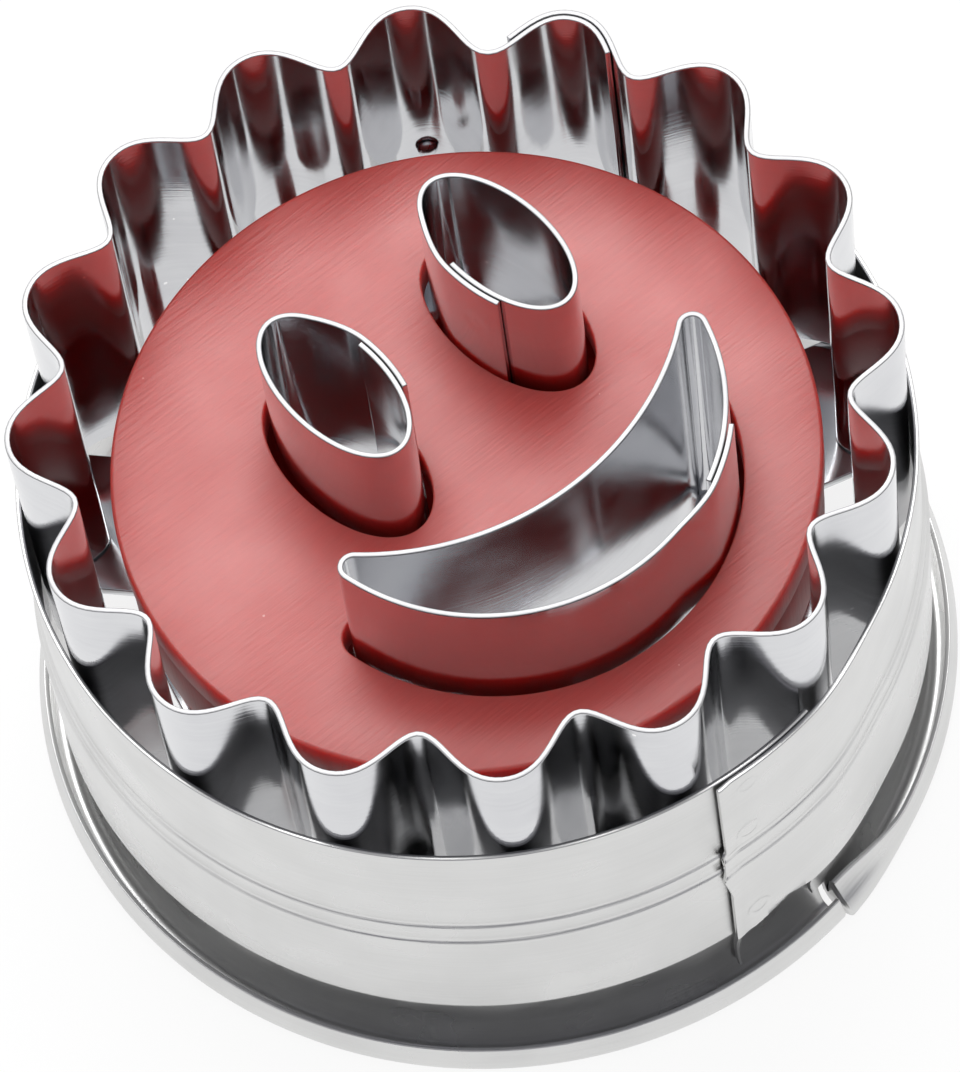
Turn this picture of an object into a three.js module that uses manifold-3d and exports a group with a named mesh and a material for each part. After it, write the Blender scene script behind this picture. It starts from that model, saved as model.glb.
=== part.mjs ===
import * as THREE from 'three';
import { mergeVertices } from 'three/addons/utils/BufferGeometryUtils.js';
import Module from 'manifold-3d';

// Round linzer cookie cutter: a fluted ring and a smiling-face motif in tinplate, with a sprung red ejector.
// Millimetres. The origin is the centre of the plane that the rolled rim stands on, +Z points to the
// cutting edges and +Y to the top of the face.

// Sheet metal and fits
const TIN = 0.3; // thickness of every tinplate strip
const LAP_GAP = 0.06; // between the two layers of a lapped seam
const SEAT_GAP = 0.05; // between faces that rest on each other

// Stack from the rim to the cutting edges
const PUSH_RECESS = 1.05; // push plate above the standing plane
const PUSH_THICKNESS = 2.2;
const EJECT_TRAVEL = 7.5;
const STOP_GAP = 0.3; // left between the push plate and the spring cup at full travel
const BRIDGE_THICKNESS = 0.6;
const BRIDGE_GAP = 0.2; // bridge plate below the fluted strip
const FLUTE_HEIGHT = 19;

// Fluted cutting ring
const FLUTE_COUNT = 16;
const FLUTE_CREST_RADIUS = 24; // middle of the strip at a crest
const FLUTE_DEPTH = 2.9; // crest to trough
const FLUTE_ROUNDING = 0.18; // share of the second wave, which makes the crests rounder
const FLUTE_SEAM = 26.6; // degrees, end of the inner layer
const FLUTE_LAP = 15.4; // degrees
const STEPS_PER_FLUTE = 12;

// Studs through three crests into the sleeve
const STUD_CRESTS = [2, 7, 13];
const STUD_BELOW_EDGE = 13.9;
const STUD_HEAD_RADIUS = 0.6;
const STUD_HEAD_HEIGHT = 0.35;
const STUD_SHANK_RADIUS = 0.3;
const STUD_FIT = 0.05;

// Grip sleeve
const SLEEVE_FIT = 0.12; // crests to the sleeve's inside
const SLEEVE_SETBACK = 7.75; // top edge below the cutting edges
const BEAD_HEIGHT = 14.75; // middle of the pressed bead above the rim
const BEAD_WIDTH = 1.9;
const BEAD_STEP = 0.2; // the wall steps out by this at each crease
const CREASE_WIDTH = 0.3;
const BAND_FOOT = 6.2; // where the lower band turns into the neck
const NECK_DEPTH = 0.67; // how far the neck is aimed inwards under the lower band
const NECK_HEIGHT = 4.2; // where it is aimed at that depth
const NECK_RUN = 1.3; // length of its turn into the rolled rim
const NECK_STEPS = 6;
const RIM_RADIUS = 1.05; // outside of the rim, which is rolled outwards and up
const RIM_JOIN = 208; // degrees round the roll, where the neck runs into it
const RIM_RISING_TURNS = [300, 330, 358, 382]; // degrees, corners from the standing plane to its lip
const RIM_LIP = 0.92; // straight part from the last corner to its edge
const RIM_FALLING_TURN = 240; // degrees, corner between the neck and the standing plane
const RIM_OVERHANG = 1.35; // rolled rim beyond the lower band
const RIM_FLAT = 0.6; // width of the flat that it stands on
const SLEEVE_SEAM = 262; // degrees, end of the outer layer
const SLEEVE_LAP = 15.6; // degrees
const NOTCH_CORNER = -0.5; // outer layer's cut edge above the foot of the band, at its end
const NOTCH_PEAK = 0.8; // the same where the cut is highest
const NOTCH_SHOULDER = 0.1; // the same where it turns down
const NOTCH_SILL = 0.6; // cut edge above the rolled rim's sides, where the layers still lap
const NOTCH_TURNS = [-7.2, -3.6, -1.9]; // degrees before the inner layer's end: peak, shoulder and sill
const NOTCH_END_GAP = 0.8; // degrees between the two ends of the rolled rim
const SLEEVE_STEPS = 84;

// Motif cutters
const EYE_HALF_WIDTH = 2.7;
const EYE_HALF_HEIGHT = 5.37;
const LEFT_EYE = { x: -4.86, y: 4.17, turn: 0.5, seam: 0.9, outerEnd: 'start' };
const RIGHT_EYE = { x: 7.34, y: 5.08, turn: 3.5, seam: 0.47, outerEnd: 'finish' };
const MOUTH = { x: -0.19, y: -15.11, turn: -2.5, seam: 0.378, outerEnd: 'finish' };
const MOUTH_OUTER_RADIUS = 12.42;
const MOUTH_INNER_RADIUS = 16.56;
const MOUTH_THICKNESS = 6.02;
const MOUTH_TIP_RADIUS = 0.71;
const MOTIF_LAP = 3.6;
const EYE_STEPS = 40;
const MOUTH_STEPS = 84;

// Bridge plate
const BRIDGE_EDGE = 1.2; // left outside each leg hole
const MOTIF_LEDGE = 0.35; // plate inside the middle of a motif cutter's wall
const EAR_ANGLES = [131.8, 237.8, 343.1];
const EAR_WIDTH = 8.5;
const EAR_FIT = 0.15; // ear corners to the sleeve
const TAB_HEIGHT = 3.8;

// Return spring and its cup
const SPRING_X = 1.2; // in the widest clear space between the motif cutters
const SPRING_Y = -1.2;
const SPRING_WIRE = 0.4;
const SPRING_RADIUS = 1.95; // to the middle of the wire
const SPRING_COILS = 8;
const SPRING_STEPS = 8; // for each coil
const WIRE_SIDES = 5;
const CUP_FIT = 0.45; // spring to the cup's wall
const CUP_RISE = 5.6; // cup's ceiling above the bridge plate
const CUP_FLANGE = 1.2;
const CUP_HOLE_FIT = 0.2;

// Ejector
const FLUSH_GAP = 0.3; // disc below the cutting edges at full travel
const DISC_THICKNESS = 2.4;
const DISC_EDGE_GAP = 1.55; // disc to the flutes' troughs
const MOTIF_FIT = 0.35; // lapped motif cutter to its opening in the disc
const SKIRT_DEPTH = 4.65; // ring below the disc
const SKIRT_INSET = 0.15; // ring inside the disc's edge
const SKIRT_FIT = 0.15; // ring to the legs
const LEG_ANGLES = [90, 186, 354];
const LEG_INSET = 3.8; // leg's middle inside the disc's edge
const LEG_RADIUS = 1.7;
const LEG_SHOULDER = 0.8; // step that rests on the bridge plate
const LEG_FIT = 0.4;
const PAD_RADIUS = 8;
const ARM_WIDTH = 6.4;
const PIN_FIT = 0.4; // guide pin to the spring
const PIN_END_GAP = 0.6; // guide pin to the cup at full travel
const SCREW_RADIUS = 0.75;
const SCREW_DEPTH = 6; // in the leg
const SCREW_HEAD_RADIUS = 1.5;
const SCREW_HEAD_HEIGHT = 0.9;
const SCREW_SINK = 1.1; // depth of the head's recess
const SCREW_FIT = 0.15;

const ROUND_SIDES = 72;
const SMALL_SIDES = 20;
const DOME_STEPS = 3;
const EMBED = 0.5; // overlap of two shapes that are joined into one piece
const CUT_THROUGH = 1; // how far a cutting shape runs past the faces
const MERGE_DISTANCE = 1e-4;

// Heights that follow from the stack
const pushTop = PUSH_RECESS + PUSH_THICKNESS;
const bridgeUnder = pushTop + EJECT_TRAVEL + STOP_GAP + SEAT_GAP + TIN;
const bridgeTop = bridgeUnder + BRIDGE_THICKNESS;
const fluteFoot = bridgeTop + BRIDGE_GAP;
const cutEdge = fluteFoot + FLUTE_HEIGHT;
const discTop = cutEdge - EJECT_TRAVEL - FLUSH_GAP;
const discUnder = discTop - DISC_THICKNESS;
const cupCeiling = bridgeTop + CUP_RISE;
const sleeveTop = cutEdge - SLEEVE_SETBACK;
const studHeight = cutEdge - STUD_BELOW_EDGE;

// Radii that follow from the fits
const lapThickness = TIN + LAP_GAP;
const sleeveInner = FLUTE_CREST_RADIUS + TIN / 2 + SLEEVE_FIT;
const upperBand = sleeveInner + TIN;
const beadBand = upperBand + BEAD_STEP;
const lowerBand = beadBand + BEAD_STEP;
const rimCentre = lowerBand + RIM_OVERHANG - RIM_RADIUS;
const discRadius = FLUTE_CREST_RADIUS - FLUTE_DEPTH - TIN / 2 - DISC_EDGE_GAP;
const legCircle = discRadius - LEG_INSET;
const skirtOuter = discRadius - SKIRT_INSET;
const skirtInner = legCircle + LEG_RADIUS + LEG_SHOULDER + SKIRT_FIT;
const legHole = LEG_RADIUS + LEG_FIT;
const bridgeRadius = legCircle + legHole + BRIDGE_EDGE;
const earEnd = Math.sqrt((lowerBand - TIN - EAR_FIT) ** 2 - (EAR_WIDTH / 2) ** 2);
const cupInner = SPRING_RADIUS + SPRING_WIRE / 2 + CUP_FIT;
const cupOuter = cupInner + TIN;
const pinRadius = SPRING_RADIUS - SPRING_WIRE / 2 - PIN_FIT;
const holeGrowth = TIN / 2 + lapThickness + MOTIF_FIT;
const legPlaces = LEG_ANGLES.map((angle) => polar(legCircle, angle));
const springAxis = new THREE.Vector2(SPRING_X, SPRING_Y);

const tin = new THREE.MeshStandardMaterial({ color: 0xc8cbd0, roughness: 0.18, metalness: 1 });
const satinTin = new THREE.MeshStandardMaterial({ color: 0xcfd0d2, roughness: 0.38, metalness: 1 });
const redPlastic = new THREE.MeshStandardMaterial({ color: 0xc2423c, roughness: 0.45, metalness: 0 });
const steel = new THREE.MeshStandardMaterial({ color: 0xa9abae, roughness: 0.3, metalness: 1 });

const wasm = await Module();
wasm.setup();

function polar(radius, degrees) {
  const angle = THREE.MathUtils.degToRad(degrees);
  return new THREE.Vector2(radius * Math.cos(angle), radius * Math.sin(angle));
}

// Merges shared corners, drops triangles without area and turns the faces outwards.
function closed(geometry) {
  geometry.deleteAttribute('normal');
  geometry.deleteAttribute('uv');
  const merged = mergeVertices(geometry, MERGE_DISTANCE);
  const corners = merged.index.array;
  const [a, b, c] = [new THREE.Vector3(), new THREE.Vector3(), new THREE.Vector3()];
  const kept = [];
  let volume = 0;
  for (let i = 0; i < corners.length; i += 3) {
    const [p, q, r] = corners.slice(i, i + 3);
    if (p === q || q === r || r === p) continue;
    kept.push([p, q, r]);
    a.fromBufferAttribute(merged.attributes.position, p);
    b.fromBufferAttribute(merged.attributes.position, q);
    c.fromBufferAttribute(merged.attributes.position, r);
    volume += a.dot(b.cross(c));
  }
  if (volume < 0) kept.forEach((triangle) => triangle.reverse());
  merged.setIndex(kept.flat());
  merged.computeVertexNormals();
  return merged;
}

function toSolid(geometry) {
  const merged = closed(geometry);
  return new wasm.Manifold(new wasm.Mesh({
    numProp: 3,
    vertProperties: new Float32Array(merged.attributes.position.array),
    triVerts: new Uint32Array(merged.index.array),
  }));
}

function toGeometry(solid) {
  const mesh = solid.getMesh();
  const geometry = new THREE.BufferGeometry();
  geometry.setAttribute('position', new THREE.BufferAttribute(mesh.vertProperties, 3));
  geometry.setIndex(new THREE.BufferAttribute(mesh.triVerts, 1));
  return closed(geometry);
}

// Joins the first shapes and cuts the others out of the result.
function carve(joined, cuts = []) {
  let solid = toSolid(joined[0]);
  for (const geometry of joined.slice(1)) solid = solid.add(toSolid(geometry));
  for (const geometry of cuts) solid = solid.subtract(toSolid(geometry));
  return toGeometry(solid);
}

// Joins a row of like sections, each a list of points in the same order, and closes both ends.
function loft(sections, flatSection) {
  const count = flatSection.length;
  const positions = sections.flatMap((section) => section.flatMap((point) => [point.x, point.y, point.z]));
  const last = (sections.length - 1) * count;
  const triangles = [];
  for (let i = 0; i < last; i += count) {
    for (let j = 0; j < count; j += 1) {
      const next = (j + 1) % count;
      triangles.push(i + j, i + next, i + count + j, i + next, i + count + next, i + count + j);
    }
  }
  const ends = THREE.ShapeUtils.triangulateShape(flatSection, []);
  if (THREE.ShapeUtils.isClockWise(flatSection)) ends.forEach((triangle) => triangle.reverse());
  for (const [p, q, r] of ends) triangles.push(r, q, p, last + p, last + q, last + r);
  const geometry = new THREE.BufferGeometry();
  geometry.setAttribute('position', new THREE.Float32BufferAttribute(positions, 3));
  geometry.setIndex(triangles);
  return closed(geometry);
}

function extrude(outline, holes, bottom, height) {
  const shape = new THREE.Shape(outline);
  shape.holes = holes.map((hole) => new THREE.Path(hole));
  const geometry = new THREE.ExtrudeGeometry(shape, { depth: height, bevelEnabled: false });
  return geometry.translate(0, 0, bottom);
}

function circle(radius, centre = new THREE.Vector2(), sides = ROUND_SIDES) {
  return Array.from({ length: sides }, (_, i) => polar(radius, (360 * i) / sides).add(centre));
}

// A turned piece standing on +Z, from a closed profile of radius and height pairs.
function turned(profile, sides = SMALL_SIDES) {
  const points = profile.map(([radius, height]) => new THREE.Vector2(radius, height));
  return new THREE.LatheGeometry([...points, points[0]], sides).rotateX(Math.PI / 2);
}

// Quarter ellipse from a domed head's crown to its edge, as radius and height pairs
function dome(radius, crown, edge) {
  return Array.from({ length: DOME_STEPS + 1 }, (_, i) => {
    const turn = (Math.PI / 2) * (i / DOME_STEPS);
    return [radius * Math.sin(turn), edge + (crown - edge) * Math.cos(turn)];
  });
}

// How far a layer stands off at a lapped end: all of it over the lap, then eased away over as much again.
function lapLift(fromEnd, lap) {
  return lapThickness * (1 - THREE.MathUtils.smoothstep(fromEnd, lap, 2 * lap));
}

// A strip on edge round a closed outline. outlineAt gives the middle of the strip and its outward direction.
function lappedStrip({ outlineAt, girth, lap, steps, bottom, top, startLift = 0, finishLift = 0 }) {
  const flatSection = [[-TIN / 2, bottom], [TIN / 2, bottom], [TIN / 2, top], [-TIN / 2, top]]
    .map(([out, up]) => new THREE.Vector2(out, up));
  const length = girth + lap;
  const sections = Array.from({ length: steps + 1 }, (_, i) => {
    const run = (length * i) / steps;
    const { middle, outward } = outlineAt(run);
    const lift = startLift * lapLift(run, lap) + finishLift * lapLift(length - run, lap);
    return flatSection.map(({ x: out, y: up }) => {
      const spot = middle.clone().addScaledVector(outward, out + lift);
      return new THREE.Vector3(spot.x, spot.y, up);
    });
  });
  return loft(sections, flatSection);
}

// Fluted ring, as a wave round the axis
function fluteAt(degrees) {
  const angle = THREE.MathUtils.degToRad(degrees);
  const wave = FLUTE_COUNT * angle - Math.PI;
  const swing = FLUTE_DEPTH / 2;
  const radius = FLUTE_CREST_RADIUS - swing + FLUTE_ROUNDING
    + swing * Math.cos(wave) - FLUTE_ROUNDING * Math.cos(2 * wave);
  const slope = FLUTE_COUNT * (-swing * Math.sin(wave) + 2 * FLUTE_ROUNDING * Math.sin(2 * wave));
  const along = new THREE.Vector2(-Math.sin(angle), Math.cos(angle)).multiplyScalar(radius)
    .addScaledVector(polar(1, degrees), slope);
  return { middle: polar(radius, degrees), outward: new THREE.Vector2(along.y, -along.x).normalize() };
}

function crestAngle(crest) {
  return (360 / FLUTE_COUNT) * (crest + 0.5);
}

// Turns a piece that stands on +Z so that its heights run outwards from the axis at a stud's place.
function atStud(geometry, crest) {
  return geometry.rotateY(Math.PI / 2)
    .translate(0, 0, studHeight)
    .rotateZ(THREE.MathUtils.degToRad(crestAngle(crest)));
}

// Distance from the axis to the strip's inner face under a stud's head, with the lapped layer's inset
function studSeat(crest) {
  const angle = crestAngle(crest);
  const reach = THREE.MathUtils.radToDeg(STUD_HEAD_RADIUS / FLUTE_CREST_RADIUS);
  const faces = [-reach, 0, reach].map((offset) => {
    const { middle, outward } = fluteAt(angle + offset);
    const inset = lapLift(THREE.MathUtils.euclideanModulo(angle + offset - FLUTE_SEAM, 360), FLUTE_LAP);
    return middle.addScaledVector(outward, -inset - TIN / 2).dot(polar(1, angle));
  });
  return Math.min(...faces);
}

function flutedCutter() {
  const strip = lappedStrip({
    outlineAt: (run) => fluteAt(FLUTE_SEAM + run),
    girth: 360,
    lap: FLUTE_LAP,
    steps: Math.round((FLUTE_COUNT * STEPS_PER_FLUTE * (360 + FLUTE_LAP)) / 360),
    bottom: fluteFoot,
    top: cutEdge,
    startLift: -1,
  });
  const holes = STUD_CRESTS.map((crest) => {
    const drill = new THREE.CylinderGeometry(
      STUD_SHANK_RADIUS + STUD_FIT, STUD_SHANK_RADIUS + STUD_FIT, 2 * CUT_THROUGH, SMALL_SIDES);
    return atStud(drill.rotateX(Math.PI / 2).translate(0, 0, FLUTE_CREST_RADIUS), crest);
  });
  return carve([strip], holes);
}

// A stud with its domed head inside the crest and its shank ending at the sleeve.
function fluteStud(crest) {
  const headSeat = studSeat(crest) - STUD_FIT;
  const shankEnd = sleeveInner - SLEEVE_FIT / 2;
  const headTop = headSeat - STUD_HEAD_HEIGHT;
  const profile = [...dome(STUD_HEAD_RADIUS, headTop, headSeat),
    [STUD_SHANK_RADIUS, headSeat], [STUD_SHANK_RADIUS, shankEnd], [0, shankEnd]];
  return closed(atStud(turned(profile), crest));
}

// A point of the rolled rim's section, on its inside or its outside
function rimPoint(degrees, radius) {
  return polar(radius, degrees).add(new THREE.Vector2(rimCentre, RIM_RADIUS));
}

// Outer face of the sleeve's wall, from its top edge to the start of the rolled rim
function sleeveWall() {
  const beadTop = BEAD_HEIGHT + BEAD_WIDTH / 2;
  const beadFoot = BEAD_HEIGHT - BEAD_WIDTH / 2;
  const bands = [[upperBand, sleeveTop], [upperBand, beadTop], [beadBand, beadTop - CREASE_WIDTH],
    [beadBand, beadFoot + CREASE_WIDTH], [lowerBand, beadFoot]];
  const rimStart = rimPoint(RIM_JOIN, RIM_RADIUS - TIN);
  const neck = new THREE.CubicBezierCurve(
    new THREE.Vector2(lowerBand, BAND_FOOT),
    new THREE.Vector2(lowerBand - NECK_DEPTH, NECK_HEIGHT),
    polar(NECK_RUN, RIM_JOIN - 90).add(rimStart),
    rimStart);
  return [...bands.map(([radius, height]) => new THREE.Vector2(radius, height)),
    ...neck.getPoints(NECK_STEPS)];
}

// The same line moved inwards by the sheet's thickness
function innerFace(line) {
  return line.map((point, i) => {
    const before = line[Math.max(i - 1, 0)];
    const after = line[Math.min(i + 1, line.length - 1)];
    const along = after.clone().sub(before).normalize();
    return point.clone().add(new THREE.Vector2(along.y, -along.x).multiplyScalar(TIN));
  });
}

// Corners of the outer layer's cut edge: degrees from its lapped end, and height. It is whole after the last.
function notchCorners() {
  const [peak, shoulder, sill] = NOTCH_TURNS.map((turn) => SLEEVE_LAP + turn);
  const sillHeight = 2 * RIM_RADIUS + NOTCH_SILL;
  return [[0, BAND_FOOT + NOTCH_CORNER], [peak, BAND_FOOT + NOTCH_PEAK],
    [shoulder, BAND_FOOT + NOTCH_SHOULDER], [sill, sillHeight],
    [SLEEVE_LAP + NOTCH_END_GAP / 2, sillHeight], [SLEEVE_LAP + NOTCH_END_GAP, -SEAT_GAP]]
    .map(([turn, height]) => new THREE.Vector2(turn, height));
}

// Height of the cut edge, and below zero where the outer layer is whole
function notchEdge(corners, fromEnd) {
  const after = corners.findIndex((corner) => corner.x > fromEnd);
  if (after < 0) return corners.at(-1).y;
  const [left, right] = [corners[after - 1], corners[after]];
  return THREE.MathUtils.mapLinear(fromEnd, left.x, right.x, left.y, right.y);
}

function lineAtHeight(line, height) {
  const i = Math.max(line.findIndex((point) => point.y < height), 1);
  const [above, below] = [line[i - 1], line[i]];
  return above.clone().lerp(below, (above.y - height) / (above.y - below.y));
}

function gripSleeve() {
  const outer = sleeveWall();
  const inner = innerFace(outer);
  const flat = (side) => new THREE.Vector2(rimCentre + (side * RIM_FLAT) / 2, 0);
  const lip = polar(RIM_LIP, RIM_RISING_TURNS.at(-1) + 90);
  const arc = (turns, radius) => turns.map((turn) => rimPoint(turn, radius));
  const groove = arc([RIM_FALLING_TURN, 270, ...RIM_RISING_TURNS], RIM_RADIUS - TIN);
  const roll = arc(RIM_RISING_TURNS, RIM_RADIUS);
  const outerSide = [...outer, ...groove, groove.at(-1).clone().add(lip)];
  const innerSide = [roll.at(-1).clone().add(lip), ...roll.reverse(), flat(1), flat(-1),
    rimPoint(RIM_FALLING_TURN, RIM_RADIUS), ...inner.slice().reverse()];
  const flatSection = [...outerSide, ...innerSide];
  const corners = notchCorners();
  const steps = Array.from({ length: SLEEVE_STEPS }, (_, i) => ((360 + SLEEVE_LAP) * (i + 1)) / SLEEVE_STEPS);
  const stations = [...corners.map((corner) => corner.x), ...steps].sort((a, b) => a - b);
  const sections = stations.map((fromEnd) => {
    const cut = notchEdge(corners, fromEnd);
    const [outerCut, innerCut] = [lineAtHeight(outer, cut), lineAtHeight(inner, cut)];
    const lift = lapLift(fromEnd, SLEEVE_LAP);
    return flatSection.map((point, j) => {
      const edge = j < outerSide.length ? outerCut : innerCut;
      const { x: radius, y: height } = point.y < cut ? edge : point;
      const spot = polar(radius + lift, SLEEVE_SEAM + fromEnd);
      return new THREE.Vector3(spot.x, spot.y, height);
    });
  });
  return loft(sections, flatSection);
}

function eyePath(growth = 0) {
  return new THREE.EllipseCurve(0, 0, EYE_HALF_WIDTH + growth, EYE_HALF_HEIGHT + growth);
}

// Crescent with rounded tips. Its outer arc's lowest point is the origin.
function mouthPath(growth = 0) {
  const outerCentre = MOUTH_OUTER_RADIUS;
  const innerCentre = MOUTH_THICKNESS + MOUTH_INNER_RADIUS;
  const apart = innerCentre - outerCentre;
  const toOuter = MOUTH_OUTER_RADIUS - MOUTH_TIP_RADIUS;
  const toInner = MOUTH_INNER_RADIUS + MOUTH_TIP_RADIUS;
  const tipY = (toOuter ** 2 - toInner ** 2 + apart ** 2) / (2 * apart);
  const tipX = Math.sqrt(toOuter ** 2 - tipY ** 2);
  const outerTurn = Math.atan2(tipY, tipX);
  const innerTurn = Math.atan2(tipY - apart, tipX);
  const tip = MOUTH_TIP_RADIUS + growth;
  const outer = MOUTH_OUTER_RADIUS + growth;
  const inner = MOUTH_INNER_RADIUS - growth;
  const path = new THREE.CurvePath();
  path.add(new THREE.EllipseCurve(0, outerCentre, outer, outer, -Math.PI - outerTurn, outerTurn));
  path.add(new THREE.EllipseCurve(tipX, outerCentre + tipY, tip, tip, outerTurn, innerTurn + Math.PI));
  path.add(new THREE.EllipseCurve(0, innerCentre, inner, inner, innerTurn, -Math.PI - innerTurn, true));
  path.add(new THREE.EllipseCurve(-tipX, outerCentre + tipY, tip, tip, -innerTurn, Math.PI - outerTurn));
  return path;
}

function motifOutline(path, place, count) {
  const turn = THREE.MathUtils.degToRad(place.turn);
  const centre = new THREE.Vector2();
  return path.getSpacedPoints(count).slice(0, count)
    .map((point) => point.clone().rotateAround(centre, turn).add(place));
}

// Outlines of the two eyes and the mouth, moved outwards by growth
function motifOutlines(growth) {
  return [
    motifOutline(eyePath(growth), LEFT_EYE, EYE_STEPS),
    motifOutline(eyePath(growth), RIGHT_EYE, EYE_STEPS),
    motifOutline(mouthPath(growth), MOUTH, MOUTH_STEPS),
  ];
}

function motifCutter(path, place, steps) {
  const girth = path.getLength();
  const strip = lappedStrip({
    outlineAt: (run) => {
      const share = (place.seam + run / girth) % 1;
      const along = path.getTangentAt(share);
      return { middle: path.getPointAt(share), outward: new THREE.Vector2(along.y, -along.x) };
    },
    girth,
    lap: MOTIF_LAP,
    steps,
    bottom: bridgeTop + SEAT_GAP,
    top: cutEdge,
    startLift: place.outerEnd === 'start' ? 1 : 0,
    finishLift: place.outerEnd === 'finish' ? 1 : 0,
  });
  return strip.rotateZ(THREE.MathUtils.degToRad(place.turn)).translate(place.x, place.y, 0);
}

// Plate under the motif cutters, with three ears whose bent tabs lie against the sleeve
function bridgePlate() {
  const ears = EAR_ANGLES.flatMap((degrees) => {
    const turn = THREE.MathUtils.degToRad(degrees);
    const reach = earEnd - bridgeRadius + EMBED;
    const arm = new THREE.BoxGeometry(reach, EAR_WIDTH, BRIDGE_THICKNESS)
      .translate(earEnd - reach / 2, 0, bridgeTop - BRIDGE_THICKNESS / 2).rotateZ(turn);
    const depth = BRIDGE_THICKNESS + TAB_HEIGHT;
    const tab = new THREE.BoxGeometry(BRIDGE_THICKNESS, EAR_WIDTH, depth)
      .translate(earEnd - BRIDGE_THICKNESS / 2, 0, bridgeTop - depth / 2).rotateZ(turn);
    return [arm, tab];
  });
  const holes = [...motifOutlines(-MOTIF_LEDGE),
    ...legPlaces.map((place) => circle(legHole, place, SMALL_SIDES)),
    circle(cupOuter + CUP_HOLE_FIT, springAxis, SMALL_SIDES)];
  const cuts = holes.map((hole) => (
    extrude(hole, [], bridgeUnder - CUT_THROUGH, BRIDGE_THICKNESS + 2 * CUT_THROUGH)));
  const plate = extrude(circle(bridgeRadius), [], bridgeUnder, BRIDGE_THICKNESS);
  return carve([plate, ...ears], cuts);
}

// Drawn cup through the bridge plate. Its flange bears on the plate from below.
function springCup() {
  const flangeTop = bridgeUnder - SEAT_GAP;
  const flangeRadius = cupOuter + CUP_HOLE_FIT + CUP_FLANGE;
  const profile = [[cupInner, flangeTop - TIN], [flangeRadius, flangeTop - TIN], [flangeRadius, flangeTop],
    [cupOuter, flangeTop], [cupOuter, cupCeiling + TIN], [0, cupCeiling + TIN], [0, cupCeiling],
    [cupInner, cupCeiling]];
  return closed(turned(profile).translate(SPRING_X, SPRING_Y, 0));
}

// Disc with its three stepped legs, bored for the screws
function ejectorDisc() {
  const disc = extrude(circle(discRadius), motifOutlines(holeGrowth), discUnder, DISC_THICKNESS);
  const bore = SCREW_RADIUS + SCREW_FIT;
  const foot = pushTop + SEAT_GAP;
  const shoulder = bridgeTop + SEAT_GAP;
  const boreTop = foot + SCREW_DEPTH;
  const legs = legPlaces.map(({ x, y }) => turned([[bore, foot], [LEG_RADIUS, foot], [LEG_RADIUS, shoulder],
    [LEG_RADIUS + LEG_SHOULDER, shoulder], [LEG_RADIUS + LEG_SHOULDER, discUnder + EMBED],
    [0, discUnder + EMBED], [0, boreTop], [bore, boreTop]]).translate(x, y, 0));
  return carve([disc, ...legs]);
}

// The ring that deepens the disc's side, round the legs
function ejectorSkirt() {
  const bottom = discUnder - SEAT_GAP - SKIRT_DEPTH;
  return closed(extrude(circle(skirtOuter), [circle(skirtInner)], bottom, SKIRT_DEPTH));
}

// An arm from the pad's middle to a leg, with a round end
function armOutline(leg) {
  const outward = leg.clone().sub(springAxis).angle();
  const half = ARM_WIDTH / 2;
  const end = Array.from({ length: SMALL_SIDES / 2 + 1 }, (_, i) => {
    const turn = outward - Math.PI / 2 + (2 * Math.PI * i) / SMALL_SIDES;
    return new THREE.Vector2(leg.x + half * Math.cos(turn), leg.y + half * Math.sin(turn));
  });
  const across = new THREE.Vector2(-Math.sin(outward), Math.cos(outward));
  const start = [half, -half].map((offset) => springAxis.clone().addScaledVector(across, offset));
  return [...end, ...start];
}

// Three-armed thumb plate with the spring's guide pin
function pushPlate() {
  const pad = extrude(circle(PAD_RADIUS, springAxis), [], PUSH_RECESS, PUSH_THICKNESS);
  const arms = legPlaces.map((leg) => extrude(armOutline(leg), [], PUSH_RECESS, PUSH_THICKNESS));
  const pinTop = cupCeiling - EJECT_TRAVEL - PIN_END_GAP;
  const pin = extrude(circle(pinRadius, springAxis, SMALL_SIDES), [],
    pushTop - EMBED, pinTop - pushTop + EMBED);
  const cuts = legPlaces.flatMap((leg) => [
    extrude(circle(SCREW_RADIUS + SCREW_FIT, leg, SMALL_SIDES), [],
      PUSH_RECESS - CUT_THROUGH, PUSH_THICKNESS + 2 * CUT_THROUGH),
    extrude(circle(SCREW_HEAD_RADIUS + SCREW_FIT, leg, SMALL_SIDES), [],
      PUSH_RECESS - CUT_THROUGH, SCREW_SINK + CUT_THROUGH),
  ]);
  return carve([pad, ...arms, pin], cuts);
}

// Domed-head screw from the push plate's underside up into a leg
function ejectorScrew({ x, y }) {
  const headSeat = PUSH_RECESS + SCREW_SINK - SEAT_GAP;
  const headFace = headSeat - SCREW_HEAD_HEIGHT;
  const tip = pushTop + SCREW_DEPTH - SCREW_RADIUS;
  const profile = [...dome(SCREW_HEAD_RADIUS, headFace, headSeat),
    [SCREW_RADIUS, headSeat], [SCREW_RADIUS, tip - SCREW_RADIUS], [0, tip]];
  return closed(turned(profile).translate(x, y, 0));
}

// Middle of the spring's wire: a helix whose two ends run straight for one wire diameter
function springLine() {
  const low = pushTop + SEAT_GAP + SPRING_WIRE / 2;
  const high = cupCeiling - SEAT_GAP - SPRING_WIRE / 2;
  const helix = Array.from({ length: SPRING_COILS * SPRING_STEPS + 1 }, (_, i) => {
    const spot = polar(SPRING_RADIUS, (360 * i) / SPRING_STEPS).add(springAxis);
    return new THREE.Vector3(spot.x, spot.y, low + ((high - low) * i) / (SPRING_COILS * SPRING_STEPS));
  });
  const runOn = (end, inside) => end.clone().add(end.clone().sub(inside).setZ(0).setLength(SPRING_WIRE));
  return [runOn(helix[0], helix[1]), ...helix, runOn(helix.at(-1), helix.at(-2))];
}

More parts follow.
